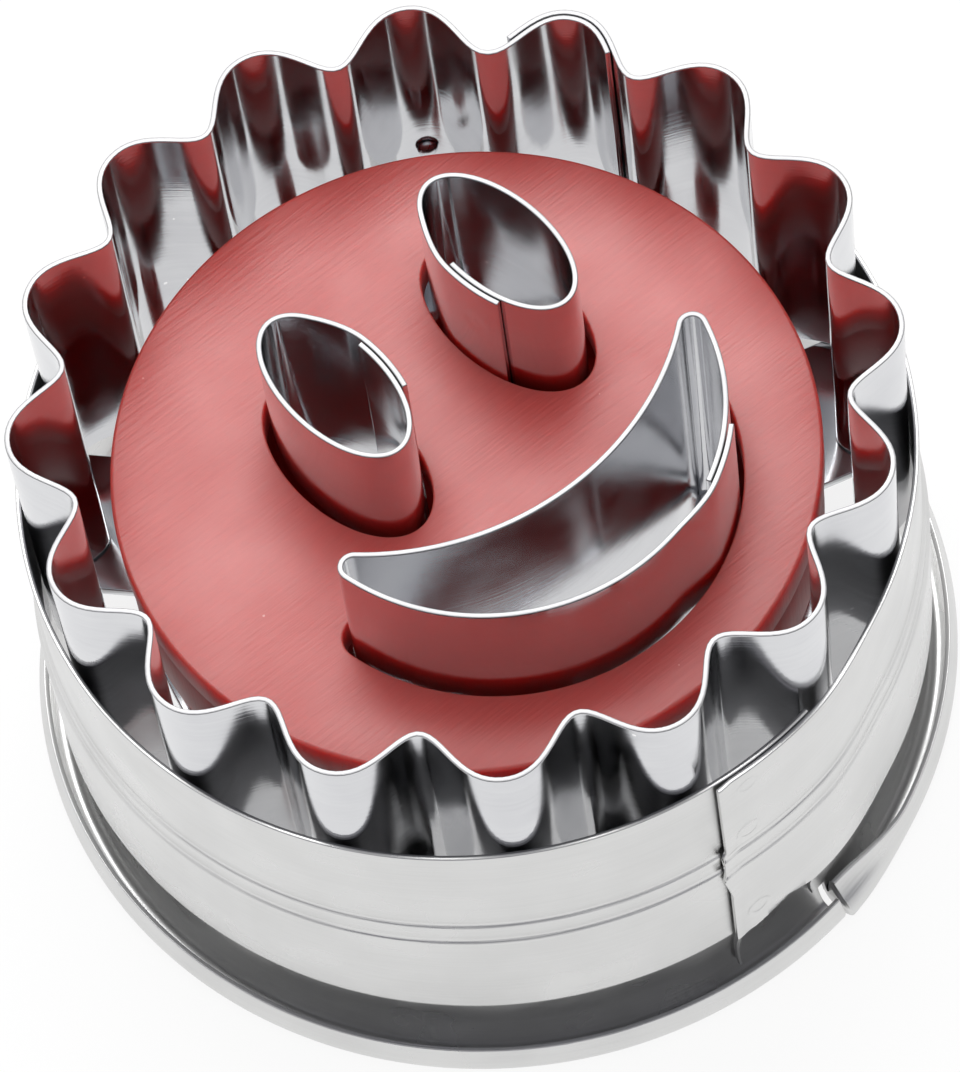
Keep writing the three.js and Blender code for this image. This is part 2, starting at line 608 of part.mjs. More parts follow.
// Least space between points of the wire that are more than half a coil apart
function leastGap(line) {
  let least = Infinity;
  for (let i = 0; i < line.length; i += 1) {
    for (let j = i + SPRING_STEPS / 2; j < line.length; j += 1) {
      least = Math.min(least, line[i].distanceTo(line[j]) - SPRING_WIRE);
    }
  }
  return least;
}

function returnSpring() {
  const line = springLine();
  console.log(`return_spring least gap to itself ${leastGap(line).toFixed(2)} mm`);
  const flatSection = circle(SPRING_WIRE / 2, new THREE.Vector2(), WIRE_SIDES);
  const up = new THREE.Vector3(0, 0, 1);
  const sections = line.map((point, i) => {
    const along = line[Math.min(i + 1, line.length - 1)].clone().sub(line[Math.max(i - 1, 0)]).normalize();
    const side = along.clone().cross(up).normalize();
    const rise = side.clone().cross(along);
    return flatSection.map(({ x, y }) => point.clone().addScaledVector(side, x).addScaledVector(rise, y));
  });
  return loft(sections, flatSection);
}

function named(name, geometry, material) {
  const mesh = new THREE.Mesh(geometry, material);
  mesh.name = name;
  return mesh;
}

const shell = new THREE.Group();
shell.add(named('grip_sleeve', gripSleeve(), satinTin));
shell.add(named('fluted_cutter', flutedCutter(), tin));
STUD_CRESTS.forEach((crest, i) => shell.add(named(`flute_stud_${i + 1}`, fluteStud(crest), steel)));
shell.add(named('eye_cutter_left', motifCutter(eyePath(), LEFT_EYE, EYE_STEPS), tin));
shell.add(named('eye_cutter_right', motifCutter(eyePath(), RIGHT_EYE, EYE_STEPS), tin));
shell.add(named('mouth_cutter', motifCutter(mouthPath(), MOUTH, MOUTH_STEPS), tin));
shell.add(named('bridge_plate', bridgePlate(), tin));
shell.add(named('spring_cup', springCup(), tin));
shell.add(named('return_spring', returnSpring(), steel));

const ejector = new THREE.Group();
ejector.add(named('ejector_disc', ejectorDisc(), redPlastic));
ejector.add(named('ejector_skirt', ejectorSkirt(), redPlastic));
ejector.add(named('push_plate', pushPlate(), redPlastic));
legPlaces.forEach((place, i) => ejector.add(named(`ejector_screw_${i + 1}`, ejectorScrew(place), steel)));

const cutter = new THREE.Group();
cutter.add(shell, ejector);

export default cutter;
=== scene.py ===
"""Dressed pieces of a sprung linzer cookie cutter, in the frame of its solids.

Lengths are metres. +Z runs along the cutter's axis towards the cutting edges, and the
rolled rim stands on Z = 0. Strips of sheet are swept flat and then bent to their outlines.
"""

import logging
import math
from bisect import bisect_right
from dataclasses import dataclass, field
from enum import Enum
from typing import Any, Callable, Sequence

import bmesh
import bpy
from mathutils import Matrix, Vector, noise


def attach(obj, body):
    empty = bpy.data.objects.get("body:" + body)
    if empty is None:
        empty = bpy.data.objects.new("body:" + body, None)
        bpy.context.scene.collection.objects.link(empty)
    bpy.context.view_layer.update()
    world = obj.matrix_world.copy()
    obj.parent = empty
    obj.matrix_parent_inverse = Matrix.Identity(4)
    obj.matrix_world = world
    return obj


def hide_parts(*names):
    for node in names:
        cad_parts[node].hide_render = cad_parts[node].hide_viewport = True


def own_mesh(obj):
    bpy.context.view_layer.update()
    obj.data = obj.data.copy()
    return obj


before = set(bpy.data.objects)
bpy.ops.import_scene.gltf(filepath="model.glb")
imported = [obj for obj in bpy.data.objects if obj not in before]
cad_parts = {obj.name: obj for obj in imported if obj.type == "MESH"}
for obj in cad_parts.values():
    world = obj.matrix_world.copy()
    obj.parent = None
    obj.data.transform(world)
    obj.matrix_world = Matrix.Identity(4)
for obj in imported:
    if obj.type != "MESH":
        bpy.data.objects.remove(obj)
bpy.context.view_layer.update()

MM = 0.001
WELD = 1e-7  # vertices closer than this are one
SLIGHT = 1e-6  # slants smaller than this count as none
SHARP = math.radians(50.0)  # edges sharper than this are eased or left unsmoothed
TIN = 0.3 * MM  # thickness of the tinplate
LAP_LIFT = 0.36 * MM  # step of one layer over the other at a lapped seam
CUT_EDGE = 31.2 * MM  # height of every cutting edge
BRIDGE_TOP = 12.0 * MM
BRIDGE_UNDER = 11.4 * MM
PUSH_TOP = 3.25 * MM
LEG_ANGLES = (90.0, 186.0, 354.0)
LEG_CIRCLE = 15.6 * MM
SPRING_AXIS = Vector((1.2 * MM, -1.2 * MM, 0.0))
CUP_CEILING = 17.6 * MM
GLOW_REACH = (1.0, 0.12, 0.1)  # share of the scale that red, green and blue light spreads
GLOW_SCALE = 4.0 * MM
NEAR = 0.12 * MM  # rows this close to an edge keep its rounding narrow
CLOSE = 0.1 * MM  # the same on the cutting strips
SEAT_GAP = 0.05 * MM  # gap that stands in for a glued or soldered seat
UPRIGHT = 0.9995  # faces whose normal rises more than this stay flat
SPECK_CELLS = 900.0  # cells per metre that may hold a small mark
LOG = logging.getLogger("linzer_cutter")

Outline = list[Vector]
Grown = Callable[[float], Outline]
Place = Callable[[float, float, int], Vector]
Triple = tuple[float, float, float]
Color = Triple
Span = tuple[float, float]


class Body(Enum):
    """Rigid bodies that the pieces ride on."""

    CUTTER = "cutter"
    EJECTOR = "ejector"


class Slot(Enum):
    """Material slots of the part's record."""

    BRIGHT = "bright_tinplate"
    SATIN = "satin_tinplate"
    RED = "red_plastic"
    STEEL = "steel"


class LapEnd(Enum):
    """Which end of a lapped strip lies outside."""

    START = "start"
    FINISH = "finish"


class Figure(Enum):
    """Outlines of the motif cutters."""

    EYE = "eye"
    MOUTH = "mouth"


def polar(radius: float, degrees: float, height: float = 0.0) -> Vector:
    """Point at a radius and an angle round the axis."""
    angle = math.radians(degrees)
    return Vector((radius * math.cos(angle), radius * math.sin(angle), height))


def smoothstep(value: float, low: float, high: float) -> float:
    """Eased share of the way from low to high."""
    share = min(max((value - low) / (high - low), 0.0), 1.0)
    return share * share * (3.0 - 2.0 * share)


def spread(start: float, stop: float, steps: int) -> list[float]:
    """Evenly spaced values with both ends."""
    return [start + (stop - start) * i / steps for i in range(steps + 1)]


def lap_lift(from_end: float, lap: float) -> float:
    """Stand-off of a layer: all of it over the lap, then eased away over as much again."""
    return LAP_LIFT * (1.0 - smoothstep(from_end, lap, 2.0 * lap))


def ripple(spot: Vector, reach: float, depth: float) -> float:
    """Soft unevenness of hand-bent sheet.

    Args:
        spot: Place on the sheet.
        reach: Rough size of one dent.
        depth: Largest height of a dent.

    Returns:
        Height of the sheet's face at the place.
    """
    return depth * noise.noise(spot / reach)


def settle(bm: bmesh.types.BMesh) -> None:
    """Merges doubled vertices and turns every face outwards."""
    bmesh.ops.remove_doubles(bm, verts=bm.verts, dist=WELD)
    bmesh.ops.recalc_face_normals(bm, faces=bm.faces)


def bent_strip(runs: Sequence[float], rows: Sequence[float], place: Place) -> bmesh.types.BMesh:
    """Joins the two faces of a flat strip along its edges and bends it to its place.

    Args:
        runs: Stations along the strip.
        rows: Stations across the strip.
        place: Gives the point for a run, a row and a side, 0 inside and 1 outside.

    Returns:
        A closed sheet.
    """
    bm = bmesh.new()
    columns, lines = len(runs) - 1, len(rows) - 1
    for side in (0.0, 1.0):
        made = bmesh.ops.create_grid(bm, x_segments=columns, y_segments=lines, size=0.5)["verts"]
        for vert in made:
            vert.co = Vector((side, (vert.co.x + 0.5) * columns, (vert.co.y + 0.5) * lines))
    bmesh.ops.bridge_loops(bm, edges=[edge for edge in bm.edges if edge.is_boundary])
    for vert in bm.verts:
        side, run, row = (round(value) for value in vert.co)
        vert.co = place(runs[run], rows[row], side)
    settle(bm)
    return bm


def ease_edges(bm: bmesh.types.BMesh, width: float) -> None:
    """Rounds every sharp edge of a closed mesh.

    Args:
        bm: Mesh that is changed.
        width: Width of the rounding.
    """
    edges = [edge for edge in bm.edges if edge.calc_face_angle(0.0) > SHARP]
    bmesh.ops.bevel(
        bm,
        geom=edges,
        offset=width,
        offset_type="OFFSET",
        segments=2,
        profile=0.5,
        affect="EDGES",
        material=-1,
    )


def add_loop(bm: bmesh.types.BMesh, outline: Outline) -> list[bmesh.types.BMEdge]:
    """Adds a closed loop of edges through the outline's points.

    Args:
        bm: Mesh that takes the loop.
        outline: Points in order.

    Returns:
        The loop's edges.
    """
    ring = bmesh.ops.create_circle(bm, segments=len(outline), radius=1.0)["verts"]
    for vert, spot in zip(ring, outline):
        vert.co = spot
    return list(dict.fromkeys(edge for vert in ring for edge in vert.link_edges))


def add_tube(bm: bmesh.types.BMesh, stack: Sequence[Outline]) -> list[list[bmesh.types.BMEdge]]:
    """Bridges a stack of like loops.

    Args:
        bm: Mesh that takes the loops.
        stack: Outlines in order.

    Returns:
        The edges of each loop.
    """
    loops = [add_loop(bm, outline) for outline in stack]
    for lower, upper in zip(loops, loops[1:]):
        bmesh.ops.bridge_loops(bm, edges=lower + upper)
    return loops


def add_cap(bm: bmesh.types.BMesh, edges: list[bmesh.types.BMEdge]) -> None:
    """Fills an outline, leaving the outlines inside it open."""
    bmesh.ops.triangle_fill(bm, use_beauty=True, edges=edges)


def stacked_plate(stacks: Sequence[Sequence[Outline]]) -> bmesh.types.BMesh:
    """Makes a plate from its outer edge and its holes.

    Args:
        stacks: Loops of each edge from the underside to the top, the outer edge first.

    Returns:
        A closed plate.
    """
    bm = bmesh.new()
    tubes = [add_tube(bm, stack) for stack in stacks]
    for level in (0, -1):
        add_cap(bm, [edge for loops in tubes for edge in loops[level]])
    settle(bm)
    return bm


def eased_stack(shape: Grown, bottom: float, top: float, ease: float) -> list[Outline]:
    """Loops of one edge of a plate, rounded at the underside and the top.

    Args:
        shape: Gives the outline moved outwards by a distance.
        bottom: Height of the underside.
        top: Height of the top.
        ease: Radius of the rounding, below zero for an outer edge and above zero for a hole.

    Returns:
        Outlines from the underside to the top.
    """
    turns = [math.radians(angle) for angle in (0.0, 30.0, 60.0, 90.0)]
    curve = [(abs(ease) * (1.0 - math.sin(t)), ease * (1.0 - math.cos(t))) for t in turns]
    levels = [(bottom + up, grow) for up, grow in reversed(curve)]
    levels += [(top - up, grow) for up, grow in curve]
    return [[Vector((p.x, p.y, height)) for p in shape(grow)] for height, grow in levels]


def ring_of(radius: float, centre: Vector, sides: int = 48) -> Grown:
    """Circle round a centre, as an outline that can be grown."""
    return lambda grow: [centre + polar(radius + grow, 360.0 * i / sides) for i in range(sides)]


def add_turned(
    bm: bmesh.types.BMesh, profile: Sequence[tuple[float, float]], centre: Vector, sides: int = 32
) -> list[bmesh.types.BMVert]:
    """Turns a profile of radius and height pairs about an upright axis.

    Args:
        bm: Mesh that takes the turned form.
        profile: Pairs in order. A closed form starts and ends on the axis or at one point.
        centre: Place of the axis.
        sides: Steps of the full turn.

    Returns:
        The new vertices.
    """
    before = set(bm.verts)
    verts = [bm.verts.new((radius, 0.0, height)) for radius, height in profile]
    edges = [bm.edges.new(pair) for pair in zip(verts, verts[1:])]
    bmesh.ops.spin(
        bm,
        geom=[*verts, *edges],
        axis=(0.0, 0.0, 1.0),
        angle=math.tau,
        steps=sides,
        use_merge=True,
    )
    made = [vert for vert in bm.verts if vert not in before]
    bmesh.ops.translate(bm, verts=made, vec=centre)
    return made


def bead(radius: float, height: float, centre: float, steps: int = 8) -> list[tuple[float, float]]:
    """Quarter round from an axis-side crown to its edge, as radius and height pairs."""
    turns = [math.pi / 2.0 * i / steps for i in range(steps + 1)]
    return [(radius * math.sin(t), centre + height * math.cos(t)) for t in turns]


@dataclass(frozen=True)
class PaintedLightZone:
    """Part of a surface where light or shade is painted into the colour.

    Attributes:
        within: Distance from the axis that it reaches to.
        above: Height that it starts at.
        color: Painted colour there, painted shade or a painted sheen that stands in for light.
        roughness: Roughness that is added there.
    """

    within: float
    above: float
    color: Color
    roughness: float


@dataclass(frozen=True)
class Finish:
    """Look of one material.

    Attributes:
        name: Name of the material.
        slot: Slot of the record that it stands for.
        color: Colour of the clean face.
        shade: Colour towards which the grain and the blotches go.
        metallic: 1 for metal and 0 for plastic.
        roughness: Lowest and highest roughness.
        stretch: Grain lines per metre along X, Y and Z.
        relief: Height of the grain.
        blotches: Blotches per metre.
        tint: Share of the shade in the blotches and in the lines.
        specks: Colour of the small marks.
        speck_share: Share of the cells that hold a mark.
        painted_light: Part of the surface where painted shade or painted sheen stands in for light.
        glow: Share of the light that spreads inside the material.
        sheen: Level of the mirror-like part of plastic, 0.5 as usual.
        ior: Index of refraction of plastic.
    """

    name: str
    slot: Slot
    color: Color
    shade: Color
    metallic: float
    roughness: Span
    stretch: Triple
    relief: float
    blotches: float
    tint: Span
    specks: Color
    speck_share: float
    painted_light: PaintedLightZone | None = None
    glow: float = 0.0
    sheen: float = 0.5
    ior: float = 1.5


BRIGHT_TIN = Finish(
    name="bright_tin",
    slot=Slot.BRIGHT,
    color=(0.7, 0.705, 0.72),
    shade=(0.5, 0.5, 0.54),
    metallic=1.0,
    roughness=(0.07, 0.17),
    stretch=(220.0, 220.0, 5200.0),
    relief=0.0015 * MM,
    blotches=260.0,
    tint=(0.2, 0.14),
    specks=(0.95, 0.95, 0.95),
    speck_share=0.05,
    # Painted shade: the top faces of the cutting edges are painted darker to dim the lamp's reflection
    # there; the added roughness is real.
    painted_light=PaintedLightZone(25.0 * MM, 31.16 * MM, (0.42, 0.42, 0.42), 0.3),
)
SATIN_TIN = Finish(
    name="satin_tin",
    slot=Slot.SATIN,
    color=(0.72, 0.72, 0.715),
    shade=(0.58, 0.58, 0.575),
    metallic=1.0,
    roughness=(0.24, 0.36),
    stretch=(160.0, 160.0, 6500.0),
    relief=0.006 * MM,
    blotches=180.0,
    tint=(0.14, 0.2),
    specks=(0.5, 0.5, 0.5),
    speck_share=0.02,
    # Painted shade: the inside face of the sleeve above the bridge is painted dark, so that the gap between
    # the flutes and the sleeve looks shaded; the added roughness is real.
    painted_light=PaintedLightZone(24.42 * MM, 12.0 * MM, (0.22, 0.22, 0.23), 0.2),
)
RED_PLASTIC = Finish(
    name="matte_red",
    slot=Slot.RED,
    color=(0.56, 0.03, 0.024),
    shade=(0.44, 0.024, 0.018),
    metallic=0.0,
    roughness=(0.42, 0.52),
    stretch=(300.0, 4200.0, 300.0),
    relief=0.012 * MM,
    blotches=130.0,
    tint=(0.2, 0.3),
    specks=(0.68, 0.24, 0.22),
    speck_share=0.03,
    # Painted sheen: the top face of the disc is painted a paler red than its sides, holes and skirt,
    # standing in for the light on its top.
    painted_light=PaintedLightZone(25.0 * MM, 23.25 * MM, (0.56, 0.058, 0.046), 0.0),
    glow=1.0,
    sheen=1.0,
    ior=1.6,
)
PLATED_STEEL = Finish(
    name="plated_steel",
    slot=Slot.STEEL,
    color=(0.7, 0.71, 0.73),
    shade=(0.5, 0.5, 0.53),
    metallic=1.0,
    roughness=(0.18, 0.32),
    stretch=(2200.0, 2200.0, 2200.0),
    relief=0.003 * MM,
    blotches=700.0,
    tint=(0.3, 0.2),
    specks=(0.35, 0.34, 0.33),
    speck_share=0.06,
)


def add_node(tree: bpy.types.NodeTree, kind: str, inputs: dict[Any, Any], **settings: Any) -> bpy.types.Node:
    """Places a node, sets its fields and fills its inputs.

    Args:
        tree: Node tree that takes the node.
        kind: Type of the node.
        inputs: Values or sockets by the input's name or number.
        settings: Fields of the node.

    Returns:
        The new node.
    """
    node = tree.nodes.new(kind)
    for key, value in settings.items():
        setattr(node, key, value)
    for key, value in inputs.items():
        if isinstance(value, bpy.types.NodeSocket):
            tree.links.new(value, node.inputs[key])
        else:
            node.inputs[key].default_value = value
    return node


def add_mix(tree: bpy.types.NodeTree, share: Any, first: Any, second: Any) -> bpy.types.NodeSocket:
    """Mixes two colours.

    Args:
        tree: Node tree that takes the node.
        share: Share of the second colour.
        first: First colour or its socket.
        second: Second colour or its socket.

    Returns:
        Socket of the mixed colour.
    """
    first, second = ((*c, 1.0) if isinstance(c, tuple) else c for c in (first, second))
    node = add_node(tree, "ShaderNodeMix", {0: share, 6: first, 7: second}, data_type="RGBA")
    return node.outputs[2]


def add_math(tree: bpy.types.NodeTree, operation: str, *values: Any) -> bpy.types.NodeSocket:
    """Places a math node and gives its result's socket."""
    node = add_node(tree, "ShaderNodeMath", dict(enumerate(values)), operation=operation)
    return node.outputs[0]


def add_range(tree: bpy.types.NodeTree, value: Any, source: Span, target: Span) -> bpy.types.NodeSocket:
    """Maps a value from one range to another.

    Args:
        tree: Node tree that takes the node.
        value: Value or its socket.
        source: Ends of the range that the value has.
        target: Ends of the range that it gets.

    Returns:
        Socket of the mapped value.
    """
    ends = zip(("From Min", "From Max", "To Min", "To Max"), (*source, *target))
    node = add_node(tree, "ShaderNodeMapRange", {"Value": value, **dict(ends)})
    return node.outputs["Result"]


class NodeGroups:
    """Surface effects that several materials share, each built once."""

    def __init__(self) -> None:
        """Builds the groups."""
        self.grain = self._grain()
        self.specks = self._specks()

    @staticmethod
    def _new(
        name: str, inputs: dict[str, str], outputs: dict[str, str]
    ) -> tuple[bpy.types.NodeTree, bpy.types.Node, bpy.types.Node]:
        """Makes an empty group.

        Args:
            name: Name of the group.
            inputs: Socket types by the input's name.
            outputs: Socket types by the output's name.

        Returns:
            The tree, its input node and its output node.
        """
        tree = bpy.data.node_groups.new(name, "ShaderNodeTree")
        for in_out, sockets in (("INPUT", inputs), ("OUTPUT", outputs)):
            for socket, kind in sockets.items():
                tree.interface.new_socket(socket, in_out=in_out, socket_type=kind)
        return tree, tree.nodes.new("NodeGroupInput"), tree.nodes.new("NodeGroupOutput")

    def _grain(self) -> bpy.types.NodeTree:
        """Fine drawn-out lines and broad blotches.

        Returns:
            The group's tree.
        """
        tree, entry, result = self._new(
            "surface_grain",
            {"Vector": "NodeSocketVector", "Stretch": "NodeSocketVector", "Blotches": "NodeSocketFloat"},
            {"Lines": "NodeSocketFloat", "Patches": "NodeSocketFloat"},
        )
        spot = entry.outputs["Vector"]
        drawn = add_node(
            tree, "ShaderNodeVectorMath", {0: spot, 1: entry.outputs["Stretch"]}, operation="MULTIPLY"
        )
        lines = add_node(
            tree,
            "ShaderNodeTexNoise",
            {"Vector": drawn.outputs[0], "Scale": 1.0, "Detail": 3.0, "Roughness": 0.6},
        )
        broad = add_node(
            tree, "ShaderNodeTexNoise", {"Vector": spot, "Scale": entry.outputs["Blotches"], "Detail": 2.0}
        )
        for noise_node, socket in ((lines, "Lines"), (broad, "Patches")):
            value = add_range(tree, noise_node.outputs[0], (0.3, 0.7), (0.0, 1.0))
            tree.links.new(value, result.inputs[socket])
        return tree

    def _specks(self) -> bpy.types.NodeTree:
        """Small scattered marks.

        Returns:
            The group's tree.
        """
        tree, entry, result = self._new(
            "handling_specks",
            {"Vector": "NodeSocketVector", "Cells": "NodeSocketFloat", "Share": "NodeSocketFloat"},
            {"Mask": "NodeSocketFloat"},
        )
        cells = add_node(
            tree,
            "ShaderNodeTexVoronoi",
            {"Vector": entry.outputs["Vector"], "Scale": entry.outputs["Cells"]},
        )
        tone = add_node(tree, "ShaderNodeSeparateColor", {0: cells.outputs["Color"]})
        chosen = add_math(tree, "LESS_THAN", tone.outputs[0], entry.outputs["Share"])
        size = add_range(tree, tone.outputs[1], (0.0, 1.0), (0.04, 0.11))
        near = add_math(tree, "LESS_THAN", cells.outputs["Distance"], size)
        mask = add_math(tree, "MULTIPLY", chosen, near)
        tree.links.new(mask, result.inputs["Mask"])
        return tree


class Materials:
    """Builds the finishes as node materials."""

    def __init__(self) -> None:
        """Builds the shared groups and every finish."""
        self.groups = NodeGroups()
        finishes = (BRIGHT_TIN, SATIN_TIN, RED_PLASTIC, PLATED_STEEL)
        self.by_slot = {finish.slot: self._build(finish) for finish in finishes}

    @staticmethod
    def _with_painted_light(tree: bpy.types.NodeTree, spot: bpy.types.NodeSocket, finish: Finish) -> tuple[Any, Any]:
        """Colour with its painted shade or painted sheen, and added roughness, of a finish with or without a
        painted-light zone.

        Args:
            tree: Node tree of the material.
            spot: Socket of the Object coordinates.
            finish: Values of the look.

        Returns:
            The colour and the roughness, as values or sockets.
        """
        painted_light = finish.painted_light
        if painted_light is None:
            return finish.color, 0.0
        axial = add_node(tree, "ShaderNodeVectorMath", {0: spot, 1: (1.0, 1.0, 0.0)}, operation="MULTIPLY")
        away = add_node(tree, "ShaderNodeVectorMath", {0: axial.outputs[0]}, operation="LENGTH")
        near = add_math(tree, "LESS_THAN", away.outputs["Value"], painted_light.within)
        height = add_node(tree, "ShaderNodeSeparateXYZ", {0: spot}).outputs["Z"]
        # Mask of the part where shade or sheen is painted into the colour.
        inside = add_math(tree, "MULTIPLY", near, add_math(tree, "GREATER_THAN", height, painted_light.above))
        color = add_mix(tree, inside, finish.color, painted_light.color)
        return color, add_math(tree, "MULTIPLY", inside, painted_light.roughness)

    def _build(self, finish: Finish) -> bpy.types.Material:
        """Builds one finish.

        Args:
            finish: Values of the look.

        Returns:
            The material.
        """
        material = bpy.data.materials.new(finish.name)
        material.use_nodes = True
        tree = material.node_tree
        shader = tree.nodes["Principled BSDF"]
        spot = add_node(tree, "ShaderNodeTexCoord", {}).outputs["Object"]
        grain = add_node(tree, "ShaderNodeGroup", {}, node_tree=self.groups.grain)
        grain.inputs["Stretch"].default_value = finish.stretch
        grain.inputs["Blotches"].default_value = finish.blotches
        specks = add_node(tree, "ShaderNodeGroup", {}, node_tree=self.groups.specks)
        specks.inputs["Cells"].default_value = SPECK_CELLS
        specks.inputs["Share"].default_value = finish.speck_share
        for group in (grain, specks):
            tree.links.new(spot, group.inputs["Vector"])
        patch = add_math(tree, "MULTIPLY", grain.outputs["Patches"], finish.tint[0])
        line = add_math(tree, "MULTIPLY", grain.outputs["Lines"], finish.tint[1])
        # The colour here already holds the finish's painted shade or painted sheen, where it has one.
        clean, added = self._with_painted_light(tree, spot, finish)
        shaded = add_mix(tree, add_math(tree, "ADD", patch, line), clean, finish.shade)
        face = add_mix(tree, specks.outputs["Mask"], shaded, finish.specks)
        rough = add_range(tree, grain.outputs["Patches"], (0.0, 1.0), finish.roughness)
        rough = add_math(tree, "ADD", rough, added)
        tree.links.new(face, shader.inputs["Base Color"])
        tree.links.new(rough, shader.inputs["Roughness"])
        shader.inputs["Metallic"].default_value = finish.metallic
        shader.inputs["Specular IOR Level"].default_value = finish.sheen
        shader.inputs["IOR"].default_value = finish.ior
        shader.inputs["Subsurface Weight"].default_value = finish.glow
        shader.inputs["Subsurface Radius"].default_value = GLOW_REACH
        shader.inputs["Subsurface Scale"].default_value = GLOW_SCALE
        bump = add_node(
            tree,
            "ShaderNodeBump",
            {"Height": grain.outputs["Lines"], "Strength": 1.0, "Distance": finish.relief},
        )
        tree.links.new(bump.outputs[0], shader.inputs["Normal"])
        return material

    def dress(
        self, bm: bmesh.types.BMesh, name: str, slot: Slot, body: Body, nodes: Sequence[str]
    ) -> bpy.types.Object:
        """Turns a mesh into a finished piece of the frame.

        Args:
            bm: Closed mesh, freed here.
            name: Name of the piece.
            slot: Slot whose finish it takes.
            body: Body that it rides on.
            nodes: Solids that it stands for.

        Returns:
            The piece.
        """
        mesh = bpy.data.meshes.new(name)
        bm.to_mesh(mesh)
        bm.free()
        for face in mesh.polygons:
            face.use_smooth = abs(face.normal.z) < UPRIGHT
        mesh.set_sharp_from_angle(angle=SHARP)
        mesh.materials.append(self.by_slot[slot])
        piece = bpy.data.objects.new(name, mesh)
        bpy.context.scene.collection.objects.link(piece)
        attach(piece, body.value)
        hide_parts(*nodes)
        LOG.info("%s: %d vertices, %d faces", name, len(mesh.vertices), len(mesh.polygons))
        return piece


@dataclass(frozen=True)
class WeldSpot:
    """Ring mark of a spot weld on a lapped seam."""

    run: float
    height: float
    radius: float
    width: float = 0.15 * MM
    depth: float = 0.07 * MM

    def at(self, across: float, height: float) -> float:
        """Depth of the mark at a distance across from its middle and a height."""
        off = (math.hypot(across, height - self.height) - self.radius) / self.width
        return -self.depth * math.exp(-off * off)

    def rows(self) -> list[float]:
        """Heights that are close enough together to draw the mark."""
        reach = self.radius + 2.0 * self.width
        return spread(self.height + reach, self.height - reach, 16)


